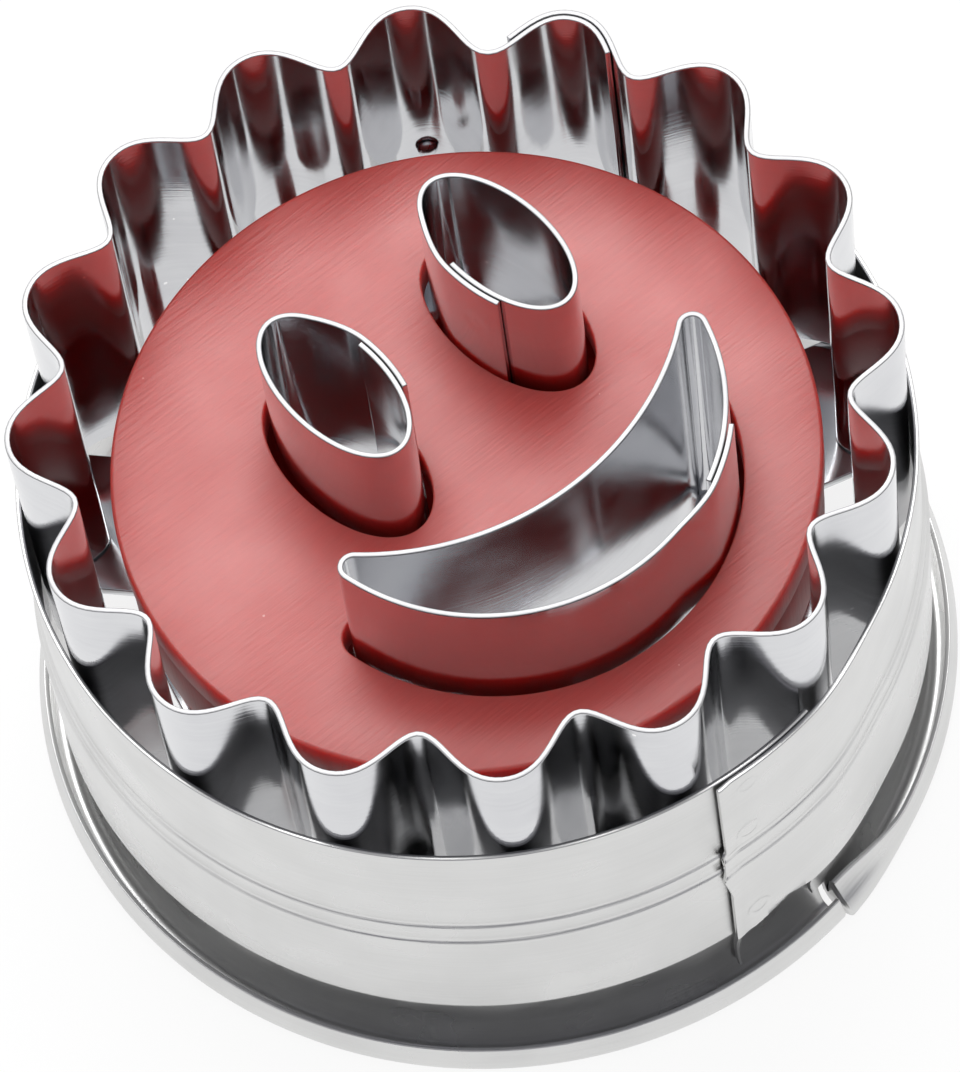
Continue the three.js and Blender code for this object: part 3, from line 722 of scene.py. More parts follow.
@dataclass
class GripSleeve:
    """Outer tinplate ring with its pressed bead, neck, rolled rim and notched lap."""

    top: float = 23.45 * MM
    upper_band: float = 24.57 * MM
    bead_band: float = 24.77 * MM
    lower_band: float = 24.97 * MM
    bead_top: float = 15.7 * MM
    bead_foot: float = 13.8 * MM
    crease: float = 0.42 * MM
    band_foot: float = 6.2 * MM
    neck_depth: float = 0.67 * MM
    neck_height: float = 4.2 * MM
    neck_run: float = 1.3 * MM
    rim_centre: float = 25.27 * MM
    rim_radius: float = 1.05 * MM
    rim_join: float = 208.0
    rim_end: float = 382.0
    rim_lip: float = 0.92 * MM
    seam: float = 262.0
    lap: float = 15.6
    edge_ease: float = 0.05 * MM
    flare: float = 0.14 * MM
    flare_reach: float = 2.5
    notch: tuple[tuple[float, float], ...] = (
        (0.0, 1.4 * MM),
        (0.5, 1.4 * MM),
        (0.7, 5.7 * MM),
        (8.4, 7.0 * MM),
        (12.0, 6.3 * MM),
        (13.7, 2.7 * MM),
        (16.0, 2.7 * MM),
        (16.4, -0.05 * MM),
    )
    welds: tuple[WeldSpot, ...] = (
        WeldSpot(4.4, 21.9 * MM, 0.55 * MM),
        WeldSpot(4.0, 16.9 * MM, 0.65 * MM),
        WeldSpot(3.9, 8.2 * MM, 0.6 * MM),
    )
    end_line: tuple[tuple[float, float], ...] = (
        (24.0 * MM, 0.0),
        (16.0 * MM, 0.3),
        (15.4 * MM, -0.3),
        (14.1 * MM, -0.3),
        (13.5 * MM, -0.8),
        (11.9 * MM, 0.1),
        (6.0 * MM, 0.2),
        (1.4 * MM, 0.9),
        (0.0, 0.9),
    )
    end_reach: float = 3.0
    pinch_in: float = 1.05 * MM
    pinch_up: float = 0.6 * MM
    pinch_end: float = 31.0
    pinch_rows: int = 11
    ripple_reach: float = 9.0 * MM
    ripple_depth: float = 0.02 * MM
    outer: list[Vector] = field(default_factory=list)
    inner: list[Vector] = field(default_factory=list)
    cut_rows: dict[float, float] = field(default_factory=dict)

    def __post_init__(self) -> None:
        """Draws the wall's section."""
        self.outer = self._wall()
        ends = len(self.outer) - 1
        for i, spot in enumerate(self.outer):
            along = (self.outer[min(i + 1, ends)] - self.outer[max(i - 1, 0)]).normalized()
            self.inner.append(spot + TIN * Vector((along.y, -along.x)))

    def _wall(self) -> list[Vector]:
        """Draws the outer face of the wall.

        Returns:
            Points of radius and height, from the top edge to the edge of the rolled rim.
        """
        bead_low = self.bead_foot + self.crease
        line = self._band(self.upper_band, self.top, self.bead_top + NEAR)
        line += self._step(self.upper_band, self.bead_band, self.bead_top)
        line += self._band(self.bead_band, self.bead_top - self.crease - NEAR, bead_low + NEAR)
        line += self._step(self.bead_band, self.lower_band, bead_low)
        line += self._band(self.lower_band, self.bead_foot - NEAR, self.band_foot + NEAR)
        line += self._neck()
        line += [self._rim_point(turn) for turn in spread(self.rim_join, self.rim_end, 22)[1:]]
        upright = polar(self.rim_lip, self.rim_end + 90.0).xy
        return line + [self._rim_point(self.rim_end) + share * upright for share in (0.3, 0.6, 0.88, 1.0)]

    def _band(self, radius: float, top: float, foot: float) -> list[Vector]:
        """Upright part of the wall, with close rows at its ends and at the weld marks.

        Args:
            radius: Radius of its outer face.
            top: Height that it starts at.
            foot: Height that it ends at.

        Returns:
            Points of radius and height.
        """
        heights = [*spread(top, foot, max(round((top - foot) / MM), 1)), top - NEAR, foot + NEAR]
        heights += [height for weld in self.welds for height in weld.rows()]
        inside = {round(height, 5) for height in heights if foot <= height <= top}
        return [Vector((radius, height)) for height in sorted(inside, reverse=True)]

    def _step(self, above: float, below: float, top: float) -> list[Vector]:
        """Crease in which the wall steps out from one band to the next.

        Args:
            above: Radius of the upper band.
            below: Radius of the lower band.
            top: Height that the crease starts at.

        Returns:
            Points of radius and height.
        """
        shares = spread(0.0, 1.0, 6)
        radii = [above + (below - above) * smoothstep(share, 0.0, 1.0) for share in shares]
        return [Vector((radius, top - self.crease * share)) for radius, share in zip(radii, shares)]

    def _rim_point(self, degrees: float) -> Vector:
        """Point of the rolled rim's section, on its inside."""
        spot = polar(self.rim_radius - TIN, degrees)
        return Vector((self.rim_centre + spot.x, self.rim_radius + spot.y))

    def _neck(self) -> list[Vector]:
        """Drawn-in curve between the lower band and the rolled rim.

        Returns:
            Points of radius and height.
        """
        rim = self._rim_point(self.rim_join)
        a = Vector((self.lower_band, self.band_foot))
        b = Vector((self.lower_band - self.neck_depth, self.neck_height))
        c = rim + polar(self.neck_run, self.rim_join - 90.0).xy
        return [
            a * (1 - t) ** 3 + b * (3 * t * (1 - t) ** 2) + c * (3 * t * t * (1 - t)) + rim * t**3
            for t in spread(0.0, 1.0, 18)
        ]

    def _last_row(self, run: float) -> float:
        """Finds where the notch cuts the wall.

        Args:
            run: Degrees along the strip.

        Returns:
            The row with its fraction.
        """
        rows = len(self.outer) - 1
        if run >= self.notch[-1][0]:
            return rows
        i = max(k for k, corner in enumerate(self.notch) if corner[0] <= run)
        (left, low), (right, high) = self.notch[i], self.notch[i + 1]
        cut = low + (high - low) * (run - left) / (right - left)
        below = next((k for k, spot in enumerate(self.outer) if spot.y < cut), rows)
        step = self.outer[below - 1].y - self.outer[below].y
        return below - 1 + min(max((self.outer[below - 1].y - cut) / step, 0.0), 1.0)

    def _end_shift(self, height: float) -> float:
        """Finds how far the outer layer's uneven end is moved.

        Args:
            height: Height on the wall.

        Returns:
            Degrees of the move.
        """
        pairs = zip(self.end_line, self.end_line[1:])
        (top, first), (foot, last) = next(pair for pair in pairs if pair[1][0] <= height)
        return last + (first - last) * (height - foot) / (top - foot)

    def _stations(self) -> list[float]:
        """Spaces the columns of the strip, close together at the lap.

        Returns:
            Degrees along the strip.
        """
        whole, near = 360.0 + self.lap, 0.15
        runs = [0.0, near, *spread(0.4, 18.0, 88), *spread(18.4, 34.0, 26), *spread(35.0, whole - 0.5, 230)]
        runs += [corner[0] for corner in self.notch] + [whole - near, whole]
        return sorted({round(run, 4) for run in runs})

    def _place(self, run: float, row: float, side: int) -> Vector:
        """Bends a point of the flat strip to its place.

        Args:
            run: Degrees along the strip.
            row: Row across it.
            side: 0 inside and 1 outside.

        Returns:
            Point of the sleeve.
        """
        at = min(row, self.cut_rows[run])
        low = min(int(at), len(self.outer) - 2)
        line = self.outer if side else self.inner
        spot = line[low].lerp(line[low + 1], at - low)
        turn = self.seam + run
        if run < self.end_reach:
            turn += self._end_shift(spot.y) * (1.0 - smoothstep(run, 0.0, self.end_reach))
        notch_end = self.notch[-1][0]
        if notch_end <= run < self.pinch_end:
            rows = len(self.outer) - 1
            pinch = smoothstep(at, rows - self.pinch_rows, rows)
            pinch *= 1.0 - smoothstep(run, notch_end, self.pinch_end)
            spot += pinch * Vector((-self.pinch_in, self.pinch_up))
        lift = lap_lift(run, self.lap) + self.flare * (1.0 - smoothstep(run, 0.0, self.flare_reach))
        for weld in self.welds if side else ():
            across = math.radians(run - weld.run) * self.upper_band
            lift += weld.at(across, spot.y)
        radius = spot.x + lift
        flat = polar(radius, turn, spot.y)
        dent = ripple(flat, self.ripple_reach, self.ripple_depth)
        radius += dent * smoothstep(spot.y, self.neck_height, self.band_foot)
        return polar(radius, turn, spot.y)

    def build(self, materials: Materials) -> None:
        """Builds and dresses the sleeve.

        Args:
            materials: Finishes that dress it.
        """
        runs = self._stations()
        self.cut_rows = {run: self._last_row(run) for run in runs}
        bm = bent_strip(runs, range(len(self.outer)), self._place)
        ease_edges(bm, self.edge_ease)
        materials.dress(bm, "sleeve_sheet", Slot.SATIN, Body.CUTTER, ["grip_sleeve"])


@dataclass
class FlutedRing:
    """Fluted cutting strip, lapped at one crest, with the studs that fix it."""

    count: int = 16
    crest_radius: float = 24.0 * MM
    depth: float = 2.9 * MM
    rounding: float = 0.18 * MM
    seam: float = 26.6
    lap: float = 15.4
    foot: float = 12.2 * MM
    steps_per_flute: int = 26
    edge_ease: float = 0.045 * MM
    stud_crests: tuple[int, ...] = (2, 7, 13)
    stud_height: float = 17.3 * MM
    stud_radius: float = 0.6 * MM
    stud_crown: float = 0.35 * MM
    stud_sink: float = 0.1 * MM
    stud_brim: float = 0.06 * MM
    shank_radius: float = 0.3 * MM
    sleeve_inner: float = 24.21 * MM
    ripple_reach: float = 6.0 * MM
    ripple_depth: float = 0.035 * MM

    def wave(self, degrees: float) -> tuple[Vector, Vector]:
        """Middle of the strip at an angle.

        Args:
            degrees: Angle round the axis.

        Returns:
            The point and its outward direction.
        """
        swing = self.depth / 2.0
        phase = self.count * math.radians(degrees) - math.pi
        radius = self.crest_radius - swing + self.rounding
        radius += swing * math.cos(phase) - self.rounding * math.cos(2.0 * phase)
        slope = self.count * (-swing * math.sin(phase) + 2.0 * self.rounding * math.sin(2.0 * phase))
        along = polar(radius, degrees + 90.0) + polar(slope, degrees)
        return polar(radius, degrees), Vector((along.y, -along.x, 0.0)).normalized()

    def _place(self, run: float, row: float, side: int) -> Vector:
        """Bends a point of the flat strip to its place.

        Args:
            run: Degrees along the strip.
            row: Height.
            side: 0 inside and 1 outside.

        Returns:
            Point of the strip.
        """
        middle, outward = self.wave(self.seam + run)
        spot = Vector((middle.x, middle.y, row))
        out = (side - 0.5) * TIN - lap_lift(run, self.lap)
        out += ripple(spot, self.ripple_reach, self.ripple_depth)
        return spot + out * outward

    def _strip(self, materials: Materials) -> None:
        """Builds and dresses the fluted strip.

        Args:
            materials: Finishes that dress it.
        """
        whole, near = 360.0 + self.lap, 0.3
        steps = round(self.count * self.steps_per_flute * whole / 360.0)
        runs = [0.0, near, *spread(0.0, whole, steps)[1:-1], whole - near, whole]
        rows = [self.foot, self.foot + CLOSE, *spread(self.foot + MM, CUT_EDGE - MM, 14)]
        rows += [CUT_EDGE - CLOSE, CUT_EDGE]
        bm = bent_strip(runs, rows, self._place)
        ease_edges(bm, self.edge_ease)
        materials.dress(bm, "flute_sheet", Slot.BRIGHT, Body.CUTTER, ["fluted_cutter"])

    def _stud(self, materials: Materials, number: int, crest: int) -> None:
        """Builds and dresses one stud with its head inside the crest.

        Args:
            materials: Finishes that dress it.
            number: Number of the stud.
            crest: Number of the crest that it sits in.
        """
        angle = 360.0 / self.count * (crest + 0.5)
        from_seam = (angle - self.seam) % 360.0
        seat = self.crest_radius - TIN / 2.0 - lap_lift(from_seam, self.lap) - self.stud_sink
        profile = bead(self.stud_radius, -self.stud_crown, seat - self.stud_brim)
        profile += [(self.stud_radius, seat), (self.shank_radius, seat)]
        profile += [(self.shank_radius, self.sleeve_inner), (0.0, self.sleeve_inner)]
        bm = bmesh.new()
        add_turned(bm, profile, Vector())
        lay = Matrix.Rotation(math.radians(angle), 4, "Z") @ Matrix.Translation((0.0, 0.0, self.stud_height))
        bmesh.ops.transform(bm, matrix=lay @ Matrix.Rotation(math.pi / 2.0, 4, "Y"), verts=bm.verts)
        settle(bm)
        node = f"flute_stud_{number}"
        materials.dress(bm, f"stud_head_{number}", Slot.STEEL, Body.CUTTER, [node])

    def build(self, materials: Materials) -> None:
        """Builds and dresses the strip and its studs.

        Args:
            materials: Finishes that dress them.
        """
        self._strip(materials)
        for number, crest in enumerate(self.stud_crests, 1):
            self._stud(materials, number, crest)


class Trace:
    """Closed outline, measured along its length."""

    def __init__(self, points: Outline) -> None:
        """Measures the outline.

        Args:
            points: Close points in order, anticlockwise, without the first repeated.
        """
        self.points = [*points, points[0]]
        self.lengths = [0.0]
        for left, right in zip(self.points, self.points[1:]):
            self.lengths.append(self.lengths[-1] + (right - left).length)
        self.girth = self.lengths[-1]

    def _outward(self, i: int) -> Vector:
        """Finds the outward direction at a point.

        Args:
            i: Number of the point.

        Returns:
            Direction of length 1.
        """
        count = len(self.points) - 1
        along = self.points[(i + 1) % count] - self.points[(i - 1) % count]
        return Vector((along.y, -along.x, 0.0)).normalized()

    def at(self, run: float) -> tuple[Vector, Vector]:
        """Finds a place on the outline.

        Args:
            run: Length along the outline.

        Returns:
            The point and its outward direction.
        """
        run %= self.girth
        i = min(bisect_right(self.lengths, run) - 1, len(self.points) - 2)
        share = (run - self.lengths[i]) / (self.lengths[i + 1] - self.lengths[i])
        spot = self.points[i].lerp(self.points[i + 1], share)
        return spot, self._outward(i).lerp(self._outward(i + 1), share).normalized()

    def even(self, count: int) -> Outline:
        """Evenly spaced points."""
        return [self.at(self.girth * i / count)[0] for i in range(count)]


@dataclass(frozen=True)
class Motif:
    """Place of one motif cutter on the face."""

    name: str
    node: str
    figure: Figure
    x: float
    y: float
    turn: float
    seam: float
    outer_end: LapEnd
    steps: int

    def placed(self, points: Outline) -> Outline:
        """Turns and moves an outline to its place on the face."""
        turn = Matrix.Rotation(math.radians(self.turn), 4, "Z")
        return [turn @ spot + Vector((self.x, self.y, 0.0)) for spot in points]


@dataclass
class MotifCutters:
    """Lapped tubes that cut the figure out of the dough."""

    eye_width: float = 2.7 * MM
    eye_height: float = 5.37 * MM
    mouth_outer: float = 12.42 * MM
    mouth_inner: float = 16.56 * MM
    mouth_thickness: float = 6.02 * MM
    mouth_tip: float = 0.71 * MM
    lap: float = 3.6 * MM
    foot: float = BRIDGE_TOP + SEAT_GAP
    edge_ease: float = 0.045 * MM
    ripple_reach: float = 5.0 * MM
    ripple_depth: float = 0.014 * MM
    weld: WeldSpot = WeldSpot(1.7 * MM, CUT_EDGE - 3.4 * MM, 0.4 * MM, 0.3 * MM, 0.04 * MM)
    motifs: tuple[Motif, ...] = (
        Motif("eye_tube_left", "eye_cutter_left", Figure.EYE,
              -4.86 * MM, 4.17 * MM, 0.5, 0.9, LapEnd.START, 150),
        Motif("eye_tube_right", "eye_cutter_right", Figure.EYE,
              7.34 * MM, 5.08 * MM, 3.5, 0.47, LapEnd.FINISH, 150),
        Motif("mouth_tube", "mouth_cutter", Figure.MOUTH,
              -0.19 * MM, -15.11 * MM, -2.5, 0.378, LapEnd.FINISH, 320),
    )

    def _eye(self, grow: float) -> Outline:
        """Oval outline.

        Args:
            grow: Distance that it is moved outwards.

        Returns:
            Close points in order.
        """
        width, height = self.eye_width + grow, self.eye_height + grow
        turns = [math.tau * i / 720 for i in range(720)]
        return [Vector((width * math.cos(t), height * math.sin(t), 0.0)) for t in turns]

    def _mouth(self, grow: float) -> Outline:
        """Crescent outline with round tips.

        Args:
            grow: Distance that it is moved outwards.

        Returns:
            Close points in order.
        """
        apart = self.mouth_thickness + self.mouth_inner - self.mouth_outer
        to_outer, to_inner = self.mouth_outer - self.mouth_tip, self.mouth_inner + self.mouth_tip
        tip_y = (to_outer**2 - to_inner**2 + apart**2) / (2.0 * apart)
        tip_x = math.sqrt(to_outer**2 - tip_y**2)
        outer_turn = math.degrees(math.atan2(tip_y, tip_x))
        inner_turn = math.degrees(math.atan2(tip_y - apart, tip_x))
        base = Vector((0.0, self.mouth_outer, 0.0))
        outer, inner = self.mouth_outer + grow, self.mouth_inner - grow
        tip = self.mouth_tip + grow
        arcs = (
            (base, outer, -180.0 - outer_turn, outer_turn, 400),
            (base + Vector((tip_x, tip_y, 0.0)), tip, outer_turn, inner_turn + 180.0, 60),
            (base + Vector((0.0, apart, 0.0)), inner, inner_turn, -180.0 - inner_turn, 400),
            (base + Vector((-tip_x, tip_y, 0.0)), tip, -inner_turn, 180.0 - outer_turn, 60),
        )
        return [
            centre + polar(radius, angle)
            for centre, radius, start, stop, steps in arcs
            for angle in spread(start, stop, steps)[:-1]
        ]

    def outline(self, motif: Motif, grow: float = 0.0) -> Outline:
        """Dense outline of a motif about its own origin."""
        return self._eye(grow) if motif.figure is Figure.EYE else self._mouth(grow)

    def openings(self, grow: float) -> list[Grown]:
        """Outlines of the three motifs on the face.

        Args:
            grow: Distance that each is moved outwards, before what is asked of it later.

        Returns:
            Outlines that can be grown.
        """
        return [
            lambda more, motif=motif: motif.placed(Trace(self.outline(motif, grow + more)).even(motif.steps))
            for motif in self.motifs
        ]

    def _tube(self, materials: Materials, motif: Motif) -> None:
        """Builds and dresses one tube.

        Args:
            materials: Finishes that dress it.
            motif: Place of the tube on the face.
        """
        trace = Trace(self.outline(motif))
        whole = trace.girth + self.lap

        def place(run: float, row: float, side: int) -> Vector:
            """Bends a point of the flat strip to its place.

            Args:
                run: Length along the strip.
                row: Height.
                side: 0 inside and 1 outside.

            Returns:
                Point of the tube about the motif's own origin.
            """
            spot, outward = trace.at(motif.seam * trace.girth + run)
            from_end = run if motif.outer_end is LapEnd.START else whole - run
            out = (side - 0.5) * TIN + lap_lift(from_end, self.lap)
            out += self.weld.at(from_end - self.weld.run, row)
            upright = Vector((spot.x, spot.y, row))
            return upright + (out + ripple(upright, self.ripple_reach, self.ripple_depth)) * outward

        runs = [0.0, CLOSE, *spread(0.0, whole, 2 * motif.steps)[1:-1], whole - CLOSE, whole]
        runs = sorted({round(run, 8) for run in runs})
        rows = [self.foot, self.foot + CLOSE, *spread(self.foot + MM, CUT_EDGE - 6.0 * MM, 8)]
        rows += [*spread(CUT_EDGE - 5.6 * MM, CUT_EDGE - 0.4 * MM, 18), CUT_EDGE - CLOSE, CUT_EDGE]
        bm = bent_strip(runs, rows, place)
        ease_edges(bm, self.edge_ease)
        for vert, spot in zip(bm.verts, motif.placed([vert.co.copy() for vert in bm.verts])):
            vert.co = spot
        materials.dress(bm, motif.name, Slot.BRIGHT, Body.CUTTER, [motif.node])

    def build(self, materials: Materials) -> None:
        """Builds and dresses the tubes."""
        for motif in self.motifs:
            self._tube(materials, motif)


@dataclass
class BridgeFrame:
    """Plate that carries the motif cutters, with its spring cup and the return spring."""

    motif: MotifCutters
    radius: float = 18.9 * MM
    ledge: float = -0.35 * MM
    ear_angles: tuple[float, ...] = (131.8, 237.8, 343.1)
    ear_width: float = 8.5 * MM
    ear_end: float = 24.15 * MM
    bend: float = 0.4 * MM
    tab_height: float = 3.8 * MM
    leg_hole: float = 2.1 * MM
    cup_hole: float = 3.1 * MM
    ease: float = 0.08 * MM
    cup_inner: float = 2.6 * MM
    cup_flange: float = 4.3 * MM
    cup_round: float = 0.5 * MM
    cup_corner: float = 0.2 * MM
    cup_ease: float = 0.06 * MM
    wire: float = 0.4 * MM
    coil_radius: float = 1.95 * MM
    spring_low: float = 3.3 * MM
    spring_high: float = 17.55 * MM
    squashed: float = 0.4737

    def _edge(self, grow: float) -> Outline:
        """Outer edge of the flat plate with its ears.

        Args:
            grow: Distance that it is moved outwards.

        Returns:
            Points in order.
        """
        radius, half = self.radius + grow, self.ear_width / 2.0 + grow
        end = self.ear_end - BRIDGE_TOP + BRIDGE_UNDER - self.bend
        half_turn = math.degrees(math.asin(half / radius))
        outline: Outline = []
        for i, angle in enumerate(self.ear_angles):
            out, across = polar(1.0, angle), polar(1.0, angle + 90.0)
            outline += [end * out - half * across, end * out + half * across]
            following = self.ear_angles[(i + 1) % len(self.ear_angles)]
            sweep = (following - angle) % 360.0 - 2.0 * half_turn
            start = angle + half_turn
            outline += [polar(radius, start + sweep * share) for share in spread(0.0, 1.0, 48)]
        return outline

    def _bend_tabs(self, bm: bmesh.types.BMesh) -> None:
        """Bends a tab down from the end of each ear.

        Args:
            bm: Mesh of the flat plate.
        """
        flat_end = self.ear_end - BRIDGE_TOP + BRIDGE_UNDER - self.bend
        for angle in self.ear_angles:
            out, across = polar(1.0, angle), polar(1.0, angle + 90.0)
            faces = [
                face for face in bm.faces
                if all(vert.co.dot(out) > flat_end - 0.001 * MM for vert in face.verts)
            ]
            region = [*faces, *(e for f in faces for e in f.edges), *(v for f in faces for v in f.verts)]
            hinge = out * flat_end + Vector((0.0, 0.0, BRIDGE_UNDER - self.bend))
            bent = bmesh.ops.spin(
                bm, geom=list(dict.fromkeys(region)), cent=hinge, axis=across, angle=math.pi / 2.0, steps=6
            )["geom_last"]
            drop = bmesh.ops.extrude_face_region(
                bm, geom=[item for item in bent if isinstance(item, bmesh.types.BMFace)]
            )["geom"]
            verts = [item for item in drop if isinstance(item, bmesh.types.BMVert)]
            bmesh.ops.translate(bm, verts=verts, vec=(0.0, 0.0, -(self.tab_height - self.bend)))
            old = [item for item in bent if isinstance(item, bmesh.types.BMFace) and item.is_valid]
            inner = [face for face in old if all(len(edge.link_faces) > 2 for edge in face.edges)]
            bmesh.ops.delete(bm, geom=inner, context="FACES_ONLY")

    def _plate(self, materials: Materials) -> None:
        """Builds and dresses the plate.

        Args:
            materials: Finishes that dress it.
        """
        holes = self.motif.openings(self.ledge)
        holes += [ring_of(self.leg_hole, polar(LEG_CIRCLE, angle)) for angle in LEG_ANGLES]
        holes += [ring_of(self.cup_hole, SPRING_AXIS)]
        stacks = [eased_stack(self._edge, BRIDGE_UNDER, BRIDGE_TOP, -self.ease)]
        stacks += [eased_stack(hole, BRIDGE_UNDER, BRIDGE_TOP, self.ease) for hole in holes]
        bm = stacked_plate(stacks)
        self._bend_tabs(bm)
        settle(bm)
        materials.dress(bm, "bridge_sheet", Slot.BRIGHT, Body.CUTTER, ["bridge_plate"])

    def _cup(self, materials: Materials) -> None:
        """Builds and dresses the drawn cup.

        Args:
            materials: Finishes that dress it.
        """
        seat, roof = BRIDGE_UNDER - SEAT_GAP, CUP_CEILING + TIN
        outer, curve = self.cup_inner + TIN, self.cup_round
        shoulder = [(outer - curve + x, roof - curve + z) for x, z in bead(curve, curve, 0.0)]
        corner = self.cup_corner
        inside = [
            (self.cup_inner - corner + x, CUP_CEILING - corner + z) for x, z in bead(corner, corner, 0.0, 4)
        ]
        profile = [(0.0, roof), *shoulder, (outer, seat), (self.cup_flange, seat)]
        profile += [(self.cup_flange, seat - TIN), (self.cup_inner, seat - TIN)]
        profile += [*reversed(inside), (0.0, CUP_CEILING)]
        bm = bmesh.new()
        add_turned(bm, profile, SPRING_AXIS, 48)
        settle(bm)
        ease_edges(bm, self.cup_ease)
        materials.dress(bm, "cup_shell", Slot.BRIGHT, Body.CUTTER, ["spring_cup"])

    def _spring(self, materials: Materials) -> None:
        """Builds and dresses the spring, with a closed coil at each end.

        Args:
            materials: Finishes that dress it.
        """
        low = self.spring_low + self.wire / 2.0
        rise = self.spring_high - self.spring_low - self.wire
        closed = 1.05 * self.wire
        bm = bmesh.new()
        lay = Matrix.Translation((self.coil_radius, 0.0, low)) @ Matrix.Rotation(math.pi / 2.0, 4, "X")
        bmesh.ops.create_circle(bm, cap_ends=True, segments=12, radius=self.wire / 2.0, matrix=lay)
        geom = [*bm.verts, *bm.edges, *bm.faces]
        for turns, climb in ((1, closed), (6, rise - 2.0 * closed), (1, closed)):
            steps = 32 * turns
            geom = bmesh.ops.spin(
                bm,
                geom=geom,
                axis=(0.0, 0.0, 1.0),
                dvec=(0.0, 0.0, climb / steps),
                angle=math.tau * turns,
                steps=steps,
            )["geom_last"]
        bmesh.ops.translate(bm, verts=bm.verts, vec=SPRING_AXIS)
        settle(bm)
        coil = materials.dress(bm, "spring_coil", Slot.STEEL, Body.CUTTER, ["return_spring"])
        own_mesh(coil)

    def build(self, materials: Materials) -> None:
        """Builds and dresses the plate, the cup and the spring.

        Args:
            materials: Finishes that dress them.
        """
        self._plate(materials)
        self._cup(materials)
        self._spring(materials)


@dataclass
class Ejector:
    """Red plastic disc with its legs and skirt, the thumb plate behind it and its screws."""

    motif: MotifCutters
    disc_radius: float = 19.4 * MM
    disc_under: float = 21.0 * MM
    disc_top: float = 23.4 * MM
    hole_growth: float = 0.64 * MM
    disc_ease: float = 0.22 * MM
    disc_sides: int = 256
    skirt_outer: float = 19.25 * MM
    skirt_inner: float = 18.25 * MM
    skirt_depth: float = 4.65 * MM
    skirt_ease: float = 0.12 * MM
    skirt_sides: int = 192
    leg_radius: float = 1.7 * MM
    leg_ease: float = 0.1 * MM
    leg_bore_depth: float = 6.0 * MM
    shoulder_radius: float = 2.5 * MM
    shoulder: float = 12.05 * MM
    fillet_width: float = 0.1 * MM
    fillet_height: float = 0.15 * MM
    embed: float = 0.3 * MM
    push_under: float = 1.05 * MM
    pad_radius: float = 8.0 * MM
    arm_width: float = 6.4 * MM
    push_ease: float = 0.3 * MM
    edge_rays: int = 480
    pin_radius: float = 1.35 * MM
    pin_top: float = 9.5 * MM
    pin_ease: float = 0.3 * MM
    ridge_radii: tuple[float, ...] = (2.4 * MM, 4.4 * MM, 6.4 * MM)
    ridge_width: float = 0.35 * MM
    sink: float = 1.1 * MM
    head_hole: float = 1.65 * MM
    hole_ease: float = 0.12 * MM
    bore: float = 0.9 * MM
    head_radius: float = 1.5 * MM
    head_side: float = 0.75 * MM
    dome: tuple[Span, ...] = ((1.05 * MM, 0.0), (1.3 * MM, 0.2 * MM), (1.46 * MM, 0.5 * MM))
    screw_radius: float = 0.75 * MM
    head_height: float = 0.9 * MM
    screw_tip: float = 8.5 * MM
    point_radius: float = 0.1 * MM
    cross_arm: float = 0.8 * MM
    cross_width: float = 0.17 * MM
    cross_depth: float = 0.45 * MM

    def _disc(self, materials: Materials) -> None:
        """Builds and dresses the disc with its legs.

        Args:
            materials: Finishes that dress it.
        """
        rim = ring_of(self.disc_radius, Vector(), self.disc_sides)
        stacks = [eased_stack(rim, self.disc_under, self.disc_top, -self.disc_ease)]
        for hole in self.motif.openings(self.hole_growth):
            stacks.append(eased_stack(hole, self.disc_under, self.disc_top, 0.5 * self.disc_ease))
        bm = stacked_plate(stacks)
        foot, top = PUSH_TOP + SEAT_GAP, self.disc_under + self.embed
        profile = [
            (0.0, foot + self.leg_bore_depth),
            (self.bore, foot + self.leg_bore_depth),
            (self.bore, foot),
            (self.leg_radius - self.leg_ease, foot),
            (self.leg_radius, foot + self.leg_ease),
            (self.leg_radius, self.shoulder),
            (self.shoulder_radius, self.shoulder),
            (self.shoulder_radius, self.disc_under - self.fillet_height),
            (self.shoulder_radius + self.fillet_width, self.disc_under),
            (self.shoulder_radius + self.fillet_width, top),
            (0.0, top),
        ]
        for angle in LEG_ANGLES:
            add_turned(bm, profile, polar(LEG_CIRCLE, angle))
        settle(bm)
        materials.dress(bm, "ejector_face", Slot.RED, Body.EJECTOR, ["ejector_disc"])

    def _skirt(self, materials: Materials) -> None:
        """Builds and dresses the ring that deepens the disc's side.

        Args:
            materials: Finishes that dress it.
        """
        top = self.disc_under - SEAT_GAP
        edges = ((self.skirt_outer, -self.skirt_ease), (self.skirt_inner, self.skirt_ease))
        stacks = [
            eased_stack(ring_of(radius, Vector(), self.skirt_sides), top - self.skirt_depth, top, ease)
            for radius, ease in edges
        ]
        materials.dress(stacked_plate(stacks), "skirt_ring", Slot.RED, Body.EJECTOR, ["ejector_skirt"])

    def _plate_edge(self, grow: float) -> Outline:
        """Outer edge of the thumb plate: the pad and its three round-ended arms.

        Args:
            grow: Distance that it is moved outwards.

        Returns:
            Points where rays from the pad's middle meet the edge.
        """
        half = self.arm_width / 2.0 + grow
        legs = [polar(LEG_CIRCLE, angle) - SPRING_AXIS for angle in LEG_ANGLES]
        outline: Outline = []
        for i in range(self.edge_rays):
            ray = polar(1.0, 360.0 / self.edge_rays * i)
            reach = self.pad_radius + grow
            for leg in legs:
                along, across = leg.dot(ray), leg.cross(ray).length
                if across < half and along > 0.0:
                    reach = max(reach, along + math.sqrt(half * half - across * across))
                side = leg.normalized()
                slant, ahead = abs(side.cross(ray).z), side.dot(ray)
                if ahead > 0.0 and slant > SLIGHT and half / slant * ahead < leg.length:
                    reach = max(reach, half / slant)
            outline.append(SPRING_AXIS + reach * ray)
        return outline

